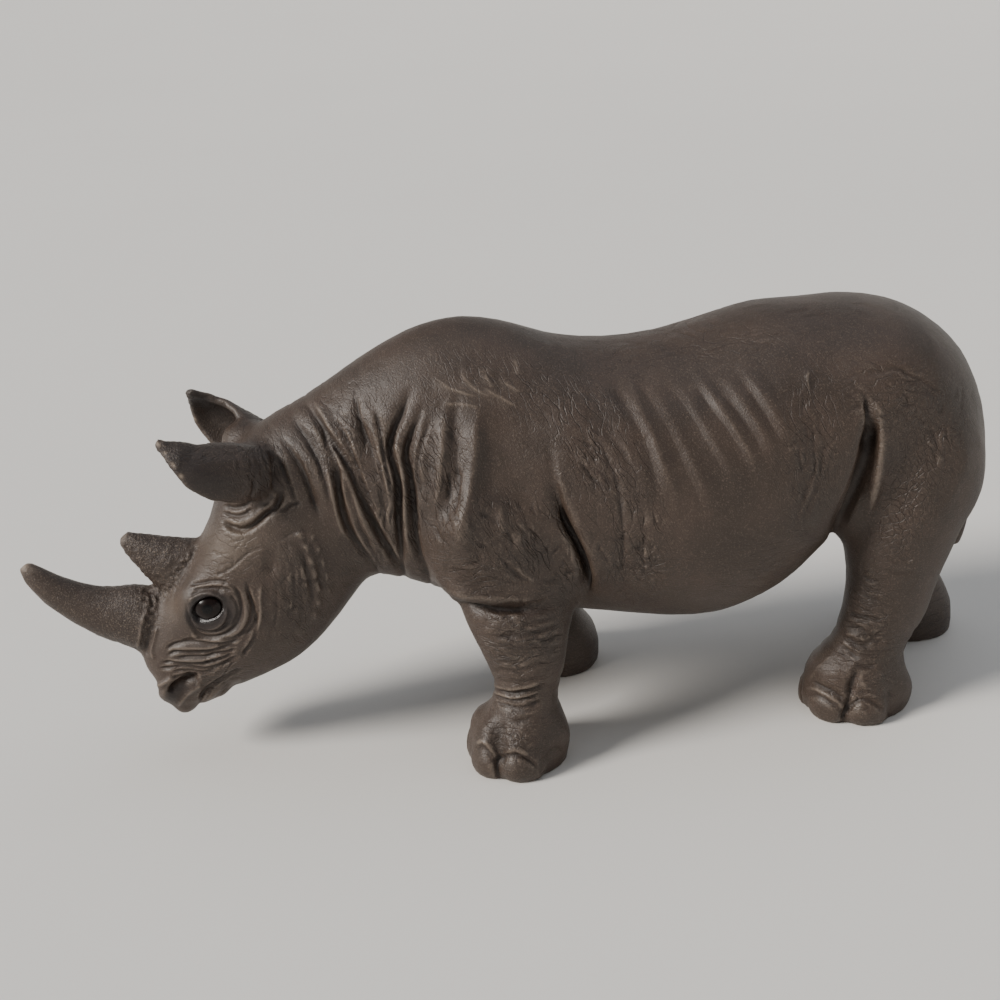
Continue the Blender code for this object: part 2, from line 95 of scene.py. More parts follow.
# The eye's opening in the photograph's pixels: middle, half sizes, turn. Then the
# ball's radii and how far it and its socket lie below the skin, in millimetres
EYE_OVAL = (207, 610, 15.5, 11.5, -20)
EYE_RADII = (2.7, 2.4, 2.0)
EYE_SUNK = 0.15
SOCKET_DEPTH = 1.3

# Where each horn springs from the head: a point in the photograph's pixels and the
# way the horn grows from it
FRONT_HORN_ROOT = ((152, 583), (-0.971, -0.232))
REAR_HORN_ROOT = ((199, 541), (-0.683, -0.730))

# How far a point may turn from the camera and still take the drawing, for large
# forms, folds and fine work, and the share of a line over which its ends fade
WRAPS = (0.6, 0.4, 0.2)
LONG_FADE = 0.24
SHORT_FADE = 0.14

# Depths and sizes of what is worked in everywhere, in millimetres
NET_DEPTH = 0.1
NET_CELLS = (1.5, 1.5, 2.0)
GRAIN_DEPTH = 0.12
KNOB_DEPTH = 0.3
GRAIN_SIZE = 0.7
UNEVEN_DEPTH = 0.04
UNEVEN_SIZE = 3.0

# Heights over their surroundings that the paint counts as fully raised
FINE_RISE = 0.06
BROAD_RISE = 0.4

# The wrinkles and face lines are drawn shallow and deepened by these factors, the
# ribs drawn deep and eased
WRINKLE_GAIN = 1.5
FACE_GAIN = 1.25
RIB_GAIN = 0.8
DEEP_WRINKLE = 0.26

# Paint rubbed pale with painted light, and darker marks of dark paint, painted shade and painted
# shadow, in the photograph's pixels: how much, middle, half sizes, turn
PALE_WEAR_AND_LIGHT = (
    # Rubbed pale: the front horn's tip, chips on the near ear's rim, and one more small spot
    (0.9, 23, 566, 5, 4, 0),
    (0.9, 158, 444, 3, 1.6, 45),
    (0.8, 165, 453, 1.5, 1.5, 0),
    (0.9, 173, 465, 1.6, 3, -40),
    (0.8, 181, 476, 2.4, 1.6, 40),
    (0.3, 121, 536, 5, 5, 0),
    # Painted light: the forehead and the side of the snout lightened where the light falls on them
    (0.25, 232, 545, 30, 22, -20),
    (0.15, 174, 606, 14, 18, 0),
)
DARK = (
    # The near ear: dark paint at its tip and painted shade on its lower side
    (0.85, 185, 464, 38, 19, 38),
    (0.5, 225, 484, 34, 16, 0),
    # Painted shade in the nostril
    (0.95, 179, 689, 16, 7, -27),
    (0.6, 172, 699, 8, 5, 25),
    # Painted shade at the near ear's base
    (0.5, 262, 478, 14, 28, 0),
    # Darker behind and under the eye
    (0.9, 230, 612, 13, 19, 0),
    (0.75, 200, 622, 15, 8, 20),
    # Painted shadow under the arm roll
    (0.5, 498, 610, 40, 5, 4),
)
# Knobbly skin where the horns spring, in the photograph's pixels, as above
KNOBS = (
    (1.0, 149, 608, 9, 32, 8),
    (1.0, 168, 587, 15, 8, -38),
    (0.8, 184, 564, 6, 24, 35),
)
# Painted shadow inside the far ear's cup. On the far ear the ovals are where the photograph shows them, not
# mirrored
FAR_EAR = (
    (0.9, 196, 398, 14, 10, 30),
    (0.7, 218, 409, 22, 9, 32),
)
# Painted shadow along the upper lid and under the lower lid: how much, half width in pixels, points
DARK_LINES = (
    (0.9, 2.2, ((188, 612), (191, 604), (197, 598), (206, 595), (216, 598), (225, 605))),
    (0.6, 2.0, ((190, 618), (197, 626), (208, 628), (219, 623), (225, 612))),
)

# The floor, in metres, and the light on all sides
FLOOR_HALF = 4.0
FLOOR_FLAT = 0.7
FLOOR_RISE = 0.12
WORLD_STRENGTH = 0.3

# Lines on the skin in the photograph's pixels: depth in millimetres, half width in
# pixels, points. A negative depth is a fold and a positive one a ridge.
NECK = (
    (-0.85, 3.6, (
        (298, 396), (306, 404), (313, 414), (320, 426), (326, 443), (333, 462), (337, 480),
        (340, 498), (343, 515), (350, 532), (362, 550), (378, 572), (392, 590)
    )),
    (-0.95, 3.8, (
        (314, 404), (322, 422), (330, 438), (340, 452), (348, 465), (354, 478), (364, 503),
        (372, 520), (381, 537), (391, 554), (399, 568), (410, 586), (420, 604)
    )),
    (-0.65, 2.4, (
        (328, 408), (338, 425), (345, 438), (350, 452), (356, 466), (361, 478), (366, 490),
        (373, 505), (382, 522)
    )),
    (-0.5, 2.6, (
        (344, 478), (348, 492), (353, 508), (358, 524), (365, 540), (374, 556), (386, 574)
    )),
    (-0.75, 2.8, (
        (357, 384), (356, 398), (357, 412), (361, 426), (366, 441), (370, 456), (373, 470),
        (378, 488), (382, 506), (385, 524), (388, 545)
    )),
    (-0.6, 2.4, (
        (366, 420), (371, 440), (375, 456), (379, 470), (382, 484), (385, 500), (389, 520)
    )),
    (-0.5, 2.1, ((374, 404), (378, 424), (382, 444), (385, 462), (389, 480), (392, 500))),
    (-1.0, 3.2, (
        (414, 380), (408, 396), (402, 411), (396, 425), (391, 440), (390, 452), (394, 466),
        (398, 482), (399, 500), (399, 520), (400, 545), (402, 570), (405, 595)
    )),
    (-0.95, 3.0, (
        (426, 398), (419, 416), (412, 431), (407, 446), (406, 460), (409, 476), (412, 494),
        (413, 515), (414, 535), (418, 555), (424, 570), (432, 588), (440, 604)
    )),
    (-0.4, 2.4, (
        (432, 410), (427, 428), (421, 446), (418, 460), (417, 474), (419, 490), (421, 508)
    )),
    (-0.55, 3.0, (
        (286, 404), (293, 418), (301, 431), (310, 446), (318, 460), (323, 475), (327, 490),
        (331, 505), (336, 520), (342, 536)
    )),
    (-0.55, 2.4, (
        (276, 430), (285, 444), (293, 456), (300, 467), (306, 480), (311, 495), (316, 508),
        (322, 524)
    )),
    (-0.45, 2.1, ((272, 446), (280, 462), (286, 478), (292, 494), (298, 508))),
    (0.3, 2.4, ((312, 398), (320, 410), (327, 424), (336, 438), (344, 450))),
    (0.35, 3.0, (
        (358, 462), (364, 478), (370, 495), (376, 512), (384, 530), (394, 550), (402, 566)
    )),
    (0.3, 3.0, (
        (402, 408), (397, 426), (396, 444), (400, 462), (403, 484), (404, 512), (407, 540),
        (414, 566)
    )),
    (0.35, 3.2, ((326, 458), (329, 475), (331, 492), (333, 508), (340, 526), (350, 542))),
    (0.3, 3.0, ((338, 470), (343, 486), (348, 504), (354, 522), (361, 540), (370, 558))),
    (-0.4, 2.6, ((456, 460), (458, 478), (456, 498), (452, 518))),
    (-0.3, 2.2, ((449, 470), (450, 486), (449, 504))),
    (-0.3, 3.0, ((459, 390), (456, 410), (453, 428), (451, 448))),
)

SHOULDER = (
    (-0.25, 12.0, (
        (500, 402), (505, 425), (508, 450), (513, 470), (520, 487), (528, 503), (536, 520)
    )),
    (0.12, 10.0, ((508, 400), (512, 420), (514, 440), (518, 460), (524, 480), (532, 500))),
    (0.55, 6.0, (
        (552, 455), (558, 475), (563, 492), (570, 510), (580, 530), (590, 550), (596, 575),
        (600, 590)
    )),
    (-1.3, 2.8, (
        (559, 500), (563, 512), (568, 524), (574, 536), (580, 548), (586, 562), (589, 578),
        (588, 594)
    )),
    (0.4, 7.0, ((560, 525), (568, 545), (574, 562), (577, 580))),
    (-0.3, 4.0, ((545, 430), (552, 460), (558, 485), (562, 505))),
    (-0.25, 1.8, ((596, 545), (603, 555), (610, 567))),
    (-0.22, 1.8, ((480, 508), (486, 515), (493, 521), (498, 526))),
    (-0.22, 1.8, ((470, 520), (476, 530), (481, 540), (484, 550))),
    (0.3, 4.0, ((498, 500), (501, 515), (502, 530), (504, 545))),
    (-0.2, 1.6, ((516, 500), (522, 512))),
    (-0.2, 1.6, ((521, 486), (528, 494))),
    (-0.22, 1.8, ((435, 528), (445, 540), (455, 545))),
    (0.8, 6.5, ((444, 405), (443, 430), (442, 455), (440, 478), (438, 500), (441, 525))),
    (0.6, 7.5, (
        (481, 395), (476, 430), (475, 458), (472, 482), (469, 505), (465, 528), (464, 560)
    )),
    (-0.35, 4.5, ((461, 405), (458, 435), (457, 460), (454, 485), (451, 508), (453, 530))),
    (-0.35, 10.0, ((490, 420), (489, 445), (490, 475), (488, 505))),
    (-0.4, 3.0, ((443, 567), (455, 570), (465, 572), (480, 580), (495, 585))),
    (-0.3, 2.4, ((455, 575), (470, 581), (485, 586), (492, 588))),
    (0.4, 3.5, ((445, 583), (470, 590), (495, 596), (520, 599), (545, 599))),
    (-0.25, 2.2, ((500, 560), (510, 568), (520, 578), (533, 583))),
    (0.25, 2.6, ((515, 565), (525, 575), (536, 583))),
    (-0.25, 2.2, ((540, 580), (550, 582), (560, 578))),
    (-0.9, 3.2, ((462, 596), (474, 602), (488, 607), (503, 610), (518, 610), (536, 606))),
    (0.6, 6.0, ((440, 590), (455, 596), (470, 597), (490, 600), (515, 602))),
    (-0.25, 1.8, ((505, 612), (512, 622), (520, 630))),
)

SCRATCHES = (
    (0.13, 1.5, ((432, 376), (440, 382), (450, 389), (460, 392), (470, 395), (485, 398))),
    (0.13, 1.5, ((460, 370), (464, 378), (470, 385), (477, 391), (486, 395), (497, 398))),
    (0.12, 1.4, ((484, 370), (486, 378), (491, 385), (493, 387))),
    (0.13, 1.5, ((481, 385), (488, 391), (497, 396), (505, 400), (512, 404), (519, 407))),
    (0.12, 1.4, ((500, 382), (508, 385), (516, 390), (521, 392))),
    (0.12, 1.4, ((441, 404), (452, 404), (466, 405), (483, 408))),
    (0.12, 1.4, ((514, 358), (516, 366), (517, 376))),
    (-0.2, 1.8, ((752, 355), (760, 350), (770, 345), (777, 343))),
    (-0.15, 1.6, ((742, 352), (752, 346))),
    (-0.16, 1.5, ((783, 313), (796, 311), (812, 309))),
    (-0.16, 1.5, ((800, 318), (812, 315), (828, 314))),
)

RIBS = (
    (0.3, 8.0, (
        (594, 378), (604, 394), (613, 410), (622, 428), (632, 450), (640, 472), (646, 494),
        (650, 520)
    )),
    (0.45, 6.5, (
        (618, 358), (627, 378), (635, 398), (645, 418), (655, 440), (663, 462), (670, 482),
        (676, 502), (680, 535)
    )),
    (0.22, 8.0, (
        (640, 368), (655, 390), (668, 410), (680, 430), (690, 450), (700, 472), (708, 494),
        (714, 518), (720, 555)
    )),
    (0.22, 7.0, (
        (672, 372), (686, 392), (697, 411), (708, 430), (718, 448), (728, 467), (738, 490),
        (750, 525)
    )),
    (0.3, 7.0, (
        (686, 358), (704, 382), (718, 402), (732, 424), (743, 445), (752, 465), (764, 500)
    )),
    (0.22, 7.0, ((718, 368), (734, 390), (747, 408), (757, 425), (766, 443), (780, 480))),
    (0.22, 7.0, (
        (735, 355), (751, 380), (762, 396), (772, 410), (781, 427), (789, 446), (798, 476)
    )),
    (-0.34, 4.5, (
        (606, 374), (617, 392), (629, 410), (639, 428), (647, 445), (652, 462), (656, 482),
        (660, 512)
    )),
    (-0.34, 5.0, (
        (630, 368), (643, 390), (655, 407), (665, 423), (674, 441), (682, 459), (690, 477),
        (700, 500), (706, 530)
    )),
    (-0.26, 4.5, (
        (662, 374), (677, 396), (690, 413), (702, 433), (712, 450), (722, 467), (734, 495)
    )),
    (-0.4, 4.0, (
        (688, 372), (703, 396), (714, 411), (725, 425), (734, 438), (742, 452), (749, 468),
        (758, 500)
    )),
    (-0.28, 4.5, (
        (698, 360), (714, 385), (727, 398), (738, 412), (748, 425), (758, 442), (772, 478)
    )),
    (-0.28, 4.5, (
        (728, 360), (744, 383), (755, 398), (764, 412), (773, 427), (782, 445), (792, 472)
    )),
    (-0.2, 4.0, ((757, 358), (769, 379), (778, 393), (787, 412))),
)

FLANK = (
    (0.3, 3.0, ((806, 368), (810, 385), (813, 405))),
    (-0.3, 2.2, ((809, 372), (812, 392), (814, 405))),
    (-0.25, 2.0, ((802, 400), (803, 418))),
    (-0.2, 2.6, ((812, 470), (806, 490), (800, 508), (793, 530))),
    (-0.2, 2.6, ((820, 480), (812, 500), (802, 520))),
    (-0.25, 2.0, ((582, 440), (592, 448))),
    (-0.3, 2.0, (
        (597, 440), (603, 452), (610, 465), (616, 480), (620, 500), (622, 520), (623, 545),
        (621, 570), (618, 585)
    )),
    (-0.22, 1.8, ((600, 425), (612, 440), (622, 450), (630, 462))),
    (-0.22, 1.8, ((585, 450), (597, 465), (610, 482), (620, 498))),
    (-0.22, 1.8, ((575, 455), (590, 475), (605, 490))),
    (-0.2, 1.6, ((640, 535), (648, 545), (655, 550))),
    (-0.2, 1.6, ((635, 560), (645, 572), (655, 578))),
)

RUMP = (
    (-1.0, 3.0, ((865, 392), (868, 408), (871, 424), (871, 440), (868, 460))),
    (-1.1, 5.5, (
        (868, 412), (868, 432), (865, 452), (860, 472), (853, 492), (845, 510), (836, 528),
        (828, 545)
    )),
    (0.7, 5.0, (
        (872, 394), (879, 412), (883, 434), (882, 455), (878, 478), (872, 502), (866, 526)
    )),
    (-0.25, 2.0, ((845, 412), (855, 408), (862, 404))),
    (-0.28, 1.8, (
        (860, 368), (880, 372), (895, 368), (910, 375), (925, 382), (938, 392), (948, 400)
    )),
    (-0.2, 1.6, ((926, 428), (934, 436), (937, 447), (936, 455))),
    (-0.2, 1.6, ((900, 465), (905, 475))),
    (0.25, 6.0, ((967, 440), (965, 465), (955, 490), (945, 510))),
    (-0.3, 2.0, ((860, 575), (870, 580), (882, 582))),
    (-0.18, 1.8, ((885, 556), (898, 562), (916, 560))),
    (-0.18, 1.8, ((884, 568), (898, 574), (918, 570))),
)

HEAD = (
    (-0.4, 2.2, ((224, 505), (232, 508), (242, 507), (250, 503), (256, 500))),
    (-0.35, 2.0, ((222, 512), (235, 516), (245, 514), (252, 508))),
    (-0.7, 3.2, (
        (222, 520), (230, 527), (240, 530), (250, 527), (257, 522), (265, 515), (275, 508),
        (280, 498), (281, 486)
    )),
    (0.22, 3.0, ((228, 521), (240, 523), (252, 519), (263, 510), (272, 502), (276, 490))),
    (-0.35, 2.2, ((280, 513), (290, 505), (300, 503))),
    (-0.25, 2.0, ((254, 480), (254, 490), (250, 500))),
    (-0.2, 1.5, (
        (213, 575), (222, 573), (232, 567), (240, 560), (248, 553), (256, 549), (262, 546)
    )),
    (-0.2, 1.5, ((280, 540), (290, 534), (297, 531), (303, 530), (307, 533))),
    (-0.45, 8.0, ((270, 555), (272, 562), (270, 570))),
    (-0.25, 2.0, ((302, 545), (304, 560), (308, 575), (311, 590), (313, 605))),
    (-0.2, 1.8, ((318, 560), (320, 575), (322, 590))),
    (-0.14, 1.8, ((283, 560), (285, 580), (284, 600))),
    (-0.14, 1.8, ((291, 556), (294, 580), (294, 605), (290, 625))),
    (-0.14, 1.8, ((275, 585), (277, 605), (274, 630))),
    (-0.14, 1.8, ((300, 590), (302, 610), (298, 630))),
)

EYES = (
    (-0.3, 1.9, ((190, 585), (200, 583), (215, 581), (230, 583))),
    (-0.28, 1.8, ((192, 590), (205, 588), (220, 588), (232, 591))),
    (-0.28, 1.8, ((190, 597), (200, 592), (212, 590), (224, 592))),
    (-0.25, 1.5, ((196, 628), (206, 632), (218, 630), (229, 621))),
    (-0.25, 1.5, ((229, 594), (236, 604), (237, 615), (231, 627))),
    (0.35, 2.2, ((189, 603), (193, 598), (200, 594), (209, 593), (219, 596), (226, 602))),
    (0.35, 2.0, (
        (192, 613), (196, 622), (203, 627), (212, 628), (220, 624), (226, 615), (227, 606)
    )),
    (-0.4, 2.0, (
        (186, 600), (187, 615), (192, 627), (200, 635), (212, 637), (225, 634), (236, 625),
        (241, 612), (240, 600), (236, 590), (228, 583)
    )),
    (0.22, 2.0, (
        (190, 631), (198, 640), (212, 642), (228, 639), (240, 630), (246, 616), (245, 602)
    )),
    (-0.35, 2.0, (
        (245, 588), (250, 600), (252, 612), (250, 622), (243, 632), (232, 638), (218, 640)
    )),
    (-0.28, 1.8, ((246, 580), (248, 592), (253, 605), (255, 618), (251, 628), (243, 637))),
    (-0.35, 2.0, ((257, 610), (256, 628), (252, 640), (246, 650), (242, 656))),
    (0.3, 2.2, ((262, 580), (260, 600), (261, 612), (258, 625), (250, 640), (243, 650))),
)

SNOUT = (
    (-0.4, 1.8, (
        (165, 651), (172, 645), (185, 642), (200, 642), (215, 644), (230, 643), (243, 637)
    )),
    (-0.38, 1.7, ((166, 656), (175, 652), (190, 653), (208, 652), (222, 648), (240, 645))),
    (-0.38, 1.6, ((172, 658), (190, 657), (205, 657), (215, 654), (228, 652), (237, 648))),
    (-0.42, 1.8, (
        (158, 664), (170, 662), (180, 664), (200, 664), (212, 661), (225, 657), (236, 653)
    )),
    (-0.38, 1.7, (
        (157, 668), (168, 668), (185, 667), (205, 669), (218, 666), (230, 660), (240, 655)
    )),
    (-0.35, 1.7, ((170, 672), (188, 671), (205, 673), (216, 669))),
    (-0.35, 1.7, ((171, 678), (185, 676), (200, 677))),
    (-0.2, 1.3, ((180, 640), (200, 638), (215, 640))),
    (0.2, 1.5, ((172, 649), (190, 648), (208, 648), (224, 645))),
    (0.2, 1.5, ((165, 660), (180, 661), (200, 661), (214, 658), (230, 655))),
    (0.35, 2.2, ((148, 608), (143, 620), (140, 635), (137, 650))),
    (-0.2, 2.0, ((152, 622), (149, 635), (146, 648), (148, 657))),
    (0.25, 2.0, ((158, 625), (155, 638), (152, 650), (154, 660))),
    (-0.18, 2.4, (
        (152, 583), (158, 588), (165, 592), (170, 590), (173, 585), (180, 577), (185, 568),
        (190, 560), (195, 550), (199, 543)
    )),
    (-0.9, 4.2, ((169, 693), (175, 687), (185, 680), (195, 676))),
    (-0.5, 3.0, ((167, 692), (173, 688), (180, 684), (190, 681), (200, 680))),
    (0.3, 2.2, ((178, 706), (184, 698), (193, 690), (203, 684))),
    (0.3, 2.4, ((158, 686), (166, 682), (172, 678))),
    (-0.6, 2.2, ((199, 704), (203, 694), (212, 686), (225, 678), (245, 667))),
    (0.25, 2.6, ((206, 700), (216, 691), (230, 683), (246, 674))),
)

FORE_LEG = (
    (-0.3, 2.2, ((490, 635), (505, 637), (520, 636), (540, 632), (560, 624))),
    (-0.25, 2.0, ((520, 626), (540, 622), (560, 615))),
    (-0.25, 2.0, ((540, 642), (555, 638), (562, 634))),
    (-0.2, 1.8, ((490, 668), (510, 671), (530, 668), (550, 662))),
    (-0.22, 1.8, ((494, 679), (510, 683), (525, 682), (545, 676))),
    (-0.5, 2.0, ((490, 688), (510, 694), (525, 692), (538, 688), (548, 683))),
    (-0.45, 1.9, ((492, 694), (510, 701), (525, 699), (540, 693))),
    (-0.45, 1.9, ((494, 701), (515, 708), (530, 706), (542, 700))),
    (-0.3, 1.9, ((510, 711), (525, 712), (538, 706))),
    (-0.25, 2.0, ((508, 722), (522, 721), (534, 716))),
    (0.35, 2.0, ((492, 684), (510, 689), (525, 687), (540, 683))),
    (0.35, 2.0, ((492, 691), (510, 697), (525, 696), (540, 691))),
    (-0.75, 7.0, ((500, 722), (499, 736), (498, 750), (498, 765))),
    (-0.75, 2.4, ((498, 757), (497, 766), (498, 779))),
    (0.45, 3.0, ((478, 744), (483, 741), (488, 745), (493, 753), (496, 761))),
    (-0.3, 2.0, ((476, 752), (480, 747), (486, 749), (491, 756), (494, 764))),
    (0.3, 2.6, ((506, 752), (512, 750), (520, 751), (530, 755))),
    (-0.5, 1.8, ((501, 766), (503, 758), (512, 755), (522, 757), (532, 762), (538, 770))),
    (-0.3, 3.0, ((541, 776), (543, 762), (545, 748))),
    (-0.3, 2.0, ((546, 762), (550, 752), (557, 748), (563, 752))),
    (-0.16, 1.6, ((474, 740), (480, 728), (487, 716))),
)

HIND_LEG = (
    (-0.3, 2.0, ((845, 612), (858, 616), (872, 618), (880, 620))),
    (-0.35, 2.4, ((848, 625), (860, 630), (870, 635), (880, 636))),
    (-0.35, 2.2, ((846, 638), (858, 645), (870, 648))),
    (-0.3, 1.9, ((842, 645), (850, 652), (858, 660))),
    (-0.4, 2.2, ((866, 642), (873, 640), (880, 643))),
    (-0.25, 1.8, ((838, 651), (846, 657), (853, 664))),
    (0.3, 2.4, ((846, 632), (858, 637), (870, 641))),
    (0.25, 2.0, ((842, 641), (852, 648), (862, 653))),
    (-0.25, 2.0, ((855, 664), (866, 668), (876, 666))),
    (-0.5, 2.2, ((812, 681), (820, 686), (832, 692), (845, 700))),
    (0.3, 2.2, ((806, 689), (812, 688), (824, 693), (838, 702), (845, 711))),
    (-0.3, 1.8, ((808, 697), (814, 694), (826, 700), (838, 709))),
    (-0.8, 4.0, ((857, 671), (853, 683), (850, 695))),
    (-0.55, 2.0, ((851, 690), (848, 702), (845, 711), (842, 722))),
    (-0.5, 2.0, ((846, 716), (850, 706), (860, 700), (872, 702), (886, 712))),
    (-0.2, 1.6, ((857, 696), (866, 691), (876, 694))),
    (0.25, 3.0, ((862, 682), (868, 690), (876, 696))),
    (0.2, 2.0, ((807, 683), (818, 668), (832, 655))),
    (-0.3, 3.0, ((889, 720), (890, 705), (889, 692))),
)

# Swellings (or hollows) in the photograph's pixels: rise in millimetres, middle, half
# length across, half length down, turn in degrees
SWELLINGS = (
    (1.2, 470, 494, 24, 62, 3),
    (1.1, 460, 530, 18, 22, 10),
    (1.2, 462, 588, 26, 7, 12),
    (0.9, 164, 694, 9, 9, 0),
    (-0.35, 528, 425, 26, 40, -20),
    (-0.3, 820, 430, 20, 60, 5),
    (0.45, 484, 764, 13, 12, 0),
    (0.45, 515, 770, 14, 10, 0),
    (0.5, 823, 703, 20, 11, 25),
    (0.5, 866, 713, 17, 9, 0),
    (1.0, 563, 735, 8, 20, 0),
    (1.1, 905, 687, 8, 18, 0),
)

# The beads on the cheek, in the same columns
BEADS = (
    (0.5, 300, 535, 3.4, 5, -10),
    (0.55, 306, 547, 3.4, 5, -14),
    (0.55, 311, 560, 3.4, 5, -10),
    (0.5, 315, 573, 3.2, 5, -5),
    (0.5, 318, 587, 3.4, 5.5, 0),
    (0.45, 318, 601, 3.2, 5, 5),
    (0.4, 314, 615, 3.4, 5, 12),
    (0.4, 312, 537, 2.8, 4, -12),
    (0.4, 318, 549, 2.8, 4, -12),
    (0.4, 322, 562, 2.8, 4.5, -8),
    (0.35, 326, 576, 2.6, 4.5, -4),
    (0.35, 328, 590, 2.6, 4.5, 0),
    (0.3, 303, 570, 2.6, 4.5, -8),
    (0.3, 306, 584, 2.6, 4.5, -4),
)

# Fine wrinkles that run with the skin, in the photograph's pixels: depth in
# millimetres, middle, half sizes, turn, then the way they run in degrees (0 to the
# right, 90 down), how long they are and how far apart
WRINKLES = (
    (0.1, 500, 378, 62, 28, 10, 66, 34, 4.2),
    (0.11, 560, 405, 44, 36, 40, 50, 34, 4.2),
    (0.26, 602, 455, 34, 44, -20, 58, 30, 4.6),
    (0.3, 632, 545, 34, 50, 0, 100, 30, 5.0),
    (0.16, 655, 570, 40, 26, 0, 150, 26, 4.6),
    (0.26, 505, 540, 50, 40, 0, 56, 28, 4.8),
    (0.24, 556, 552, 26, 46, -15, 66, 26, 4.6),
    (0.2, 440, 470, 26, 62, 0, 92, 34, 4.6),
    (0.22, 470, 572, 52, 22, 12, 18, 30, 4.4),
    (0.1, 902, 505, 38, 62, 8, 84, 20, 5.4),
    (0.2, 892, 392, 56, 34, 10, 28, 26, 5.0),
    (0.2, 938, 445, 34, 60, 12, 70, 28, 5.0),
    (0.2, 812, 450, 30, 76, 5, 98, 34, 5.0),
    (0.14, 770, 560, 60, 30, -30, 160, 34, 5.0),
    (0.16, 350, 440, 66, 52, 50, 60, 34, 4.0),
    (0.18, 392, 520, 36, 60, 20, 76, 34, 4.0),
    (0.18, 290, 600, 34, 62, 0, 96, 26, 4.4),
    (0.26, 518, 642, 46, 46, 0, -8, 24, 4.6),
    (0.24, 866, 618, 30, 46, 0, 20, 18, 4.8),
    (0.12, 690, 345, 150, 28, -8, -6, 34, 4.6),
    (0.14, 232, 548, 34, 44, 0, 150, 20, 3.6),
    (0.18, 262, 470, 30, 40, 0, 70, 20, 3.6),
    (0.16, 222, 676, 50, 24, -28, -30, 24, 4.0),
    (0.16, 517, 738, 40, 30, 0, 30, 14, 4.0),
    (0.16, 860, 690, 40, 30, 0, 30, 14, 4.0),
    (0.14, 205, 455, 50, 20, 10, 12, 30, 4.0),
)

# Where the skin breaks into small cells, in the photograph's pixels: how deep,
# middle, half sizes, turn
NET = (
    (0.8, 900, 510, 30, 56, 10),
    (0.5, 905, 410, 46, 36, 0),
    (0.5, 628, 556, 34, 40, 0),
    (0.4, 470, 556, 44, 26, 0),
    (0.3, 595, 470, 30, 40, -20),
    (0.35, 868, 596, 26, 26, 0),
    (0.4, 520, 632, 44, 22, 0),
    (0.3, 340, 450, 60, 40, 50),
    (0.3, 296, 590, 22, 54, 0),
    (0.5, 516, 740, 24, 20, 0),
    (0.5, 866, 692, 20, 14, 0),
    (0.3, 940, 470, 26, 60, 0),
)


def camera_axes():
    """The camera's right, up and forward directions."""
    turn, lift, roll = (math.radians(angle) for angle in (AZIMUTH, ELEVATION, ROLL))
    right = np.array((math.cos(turn), math.sin(turn), 0.0))
    forward = np.array((-math.sin(turn) * math.cos(lift), math.cos(turn) * math.cos(lift), -math.sin(lift)))
    up = np.cross(right, forward)
    return (
        right * math.cos(roll) - up * math.sin(roll),
        right * math.sin(roll) + up * math.cos(roll),
        forward,
    )


RIGHT, UP, FORWARD = camera_axes()


def on_photo(points):
    """Where points fall in the photograph, in pixels."""
    away = CAMERA_AWAY + (points - LOOK_AT) @ FORWARD
    across = (points - LOOK_AT) @ RIGHT / away
    height = (points - LOOK_AT) @ UP / away
    middle = IMAGE_PIXELS / 2
    return np.stack((middle + FOCAL_PIXELS * across, middle - FOCAL_PIXELS * height), 1)


# How far the right legs stand behind the left ones, level by level
FORE_SHIFT = (
    (0, 11.3), (7, 10.9), (10, 9.7), (13, 8.9), (17, 7.7),
    (21, 6.4), (25, 4.6), (29, 2.8), (34, 1.4), (44, 0),
)
HIND_SHIFT = (
    (0, 19.0), (10, 19.0), (13, 17.0), (17, 14.6), (21, 12.0),
    (25, 9.2), (30, 6.0), (37, 2.4), (46, 0),
)


def level(heights, table):
    """A table's value at each height."""
    return np.interp(heights, [row[0] for row in table], [row[1] for row in table])


def left_twin(points):
    """Each point's place on the left side, where the skin is drawn."""
    twin = points.copy()
    far = points[:, 1] > MIDDLE
    fore = far & (points[:, 0] > FORE_LEG_ENDS[0]) & (points[:, 0] < FORE_LEG_ENDS[1])
    hind = far & (points[:, 0] > HIND_LEG_START)
    twin[fore, 0] -= level(points[fore, 2], FORE_SHIFT)
    twin[hind, 0] -= level(points[hind, 2], HIND_SHIFT)
    twin[:, 1] = MIDDLE - np.abs(points[:, 1] - MIDDLE)
    return twin


def region(values, low, high):
    """0 below low, 1 above high and smooth between."""
    t = np.clip((values - low) / (high - low), 0, 1)
    return t * t * (3 - 2 * t)


def smooth_line(line, steps=4):
    """More points on one smooth curve through a drawn line's points."""
    rows = np.array(line, float)
    if len(rows) < 3:
        return rows
    ends = np.vstack([2 * rows[0] - rows[1], rows, 2 * rows[-1] - rows[-2]])
    found = []
    for i in range(len(rows) - 1):
        before, start, end, after = ends[i : i + 4]
        for k in range(steps):
            t = k / steps
            bend = 2 * before - 5 * start + 4 * end - after
            twist = 3 * start - before - 3 * end + after
            found.append(start + 0.5 * t * (end - before + t * (bend + t * twist)))
    found.append(rows[-1])
    return np.array(found)


def near_line(drawn, line, width, fade_share):
    """How strongly a line marks each point: 1 on it, fading off at its sides and ends."""
    line = smooth_line(line)
    reach = 3 * width
    close = np.all((drawn > line.min(0) - reach) & (drawn < line.max(0) + reach), axis=1)
    near = drawn[close]
    found = np.zeros(len(near))
    for i in range(len(line) - 1):
        run = line[i + 1] - line[i]
        t = np.clip(((near - line[i]) @ run) / (run @ run), 0, 1)
        away = np.linalg.norm(near - line[i] - t[:, None] * run, axis=1)
        along = (i + t) / (len(line) - 1)
        fade = region(np.minimum(along, 1 - along), 0, fade_share)
        found = np.maximum(found, fade * np.exp(-((away / (width * (0.55 + 0.45 * fade))) ** 2)))
    share = np.zeros(len(drawn))
    share[close] = found
    return share


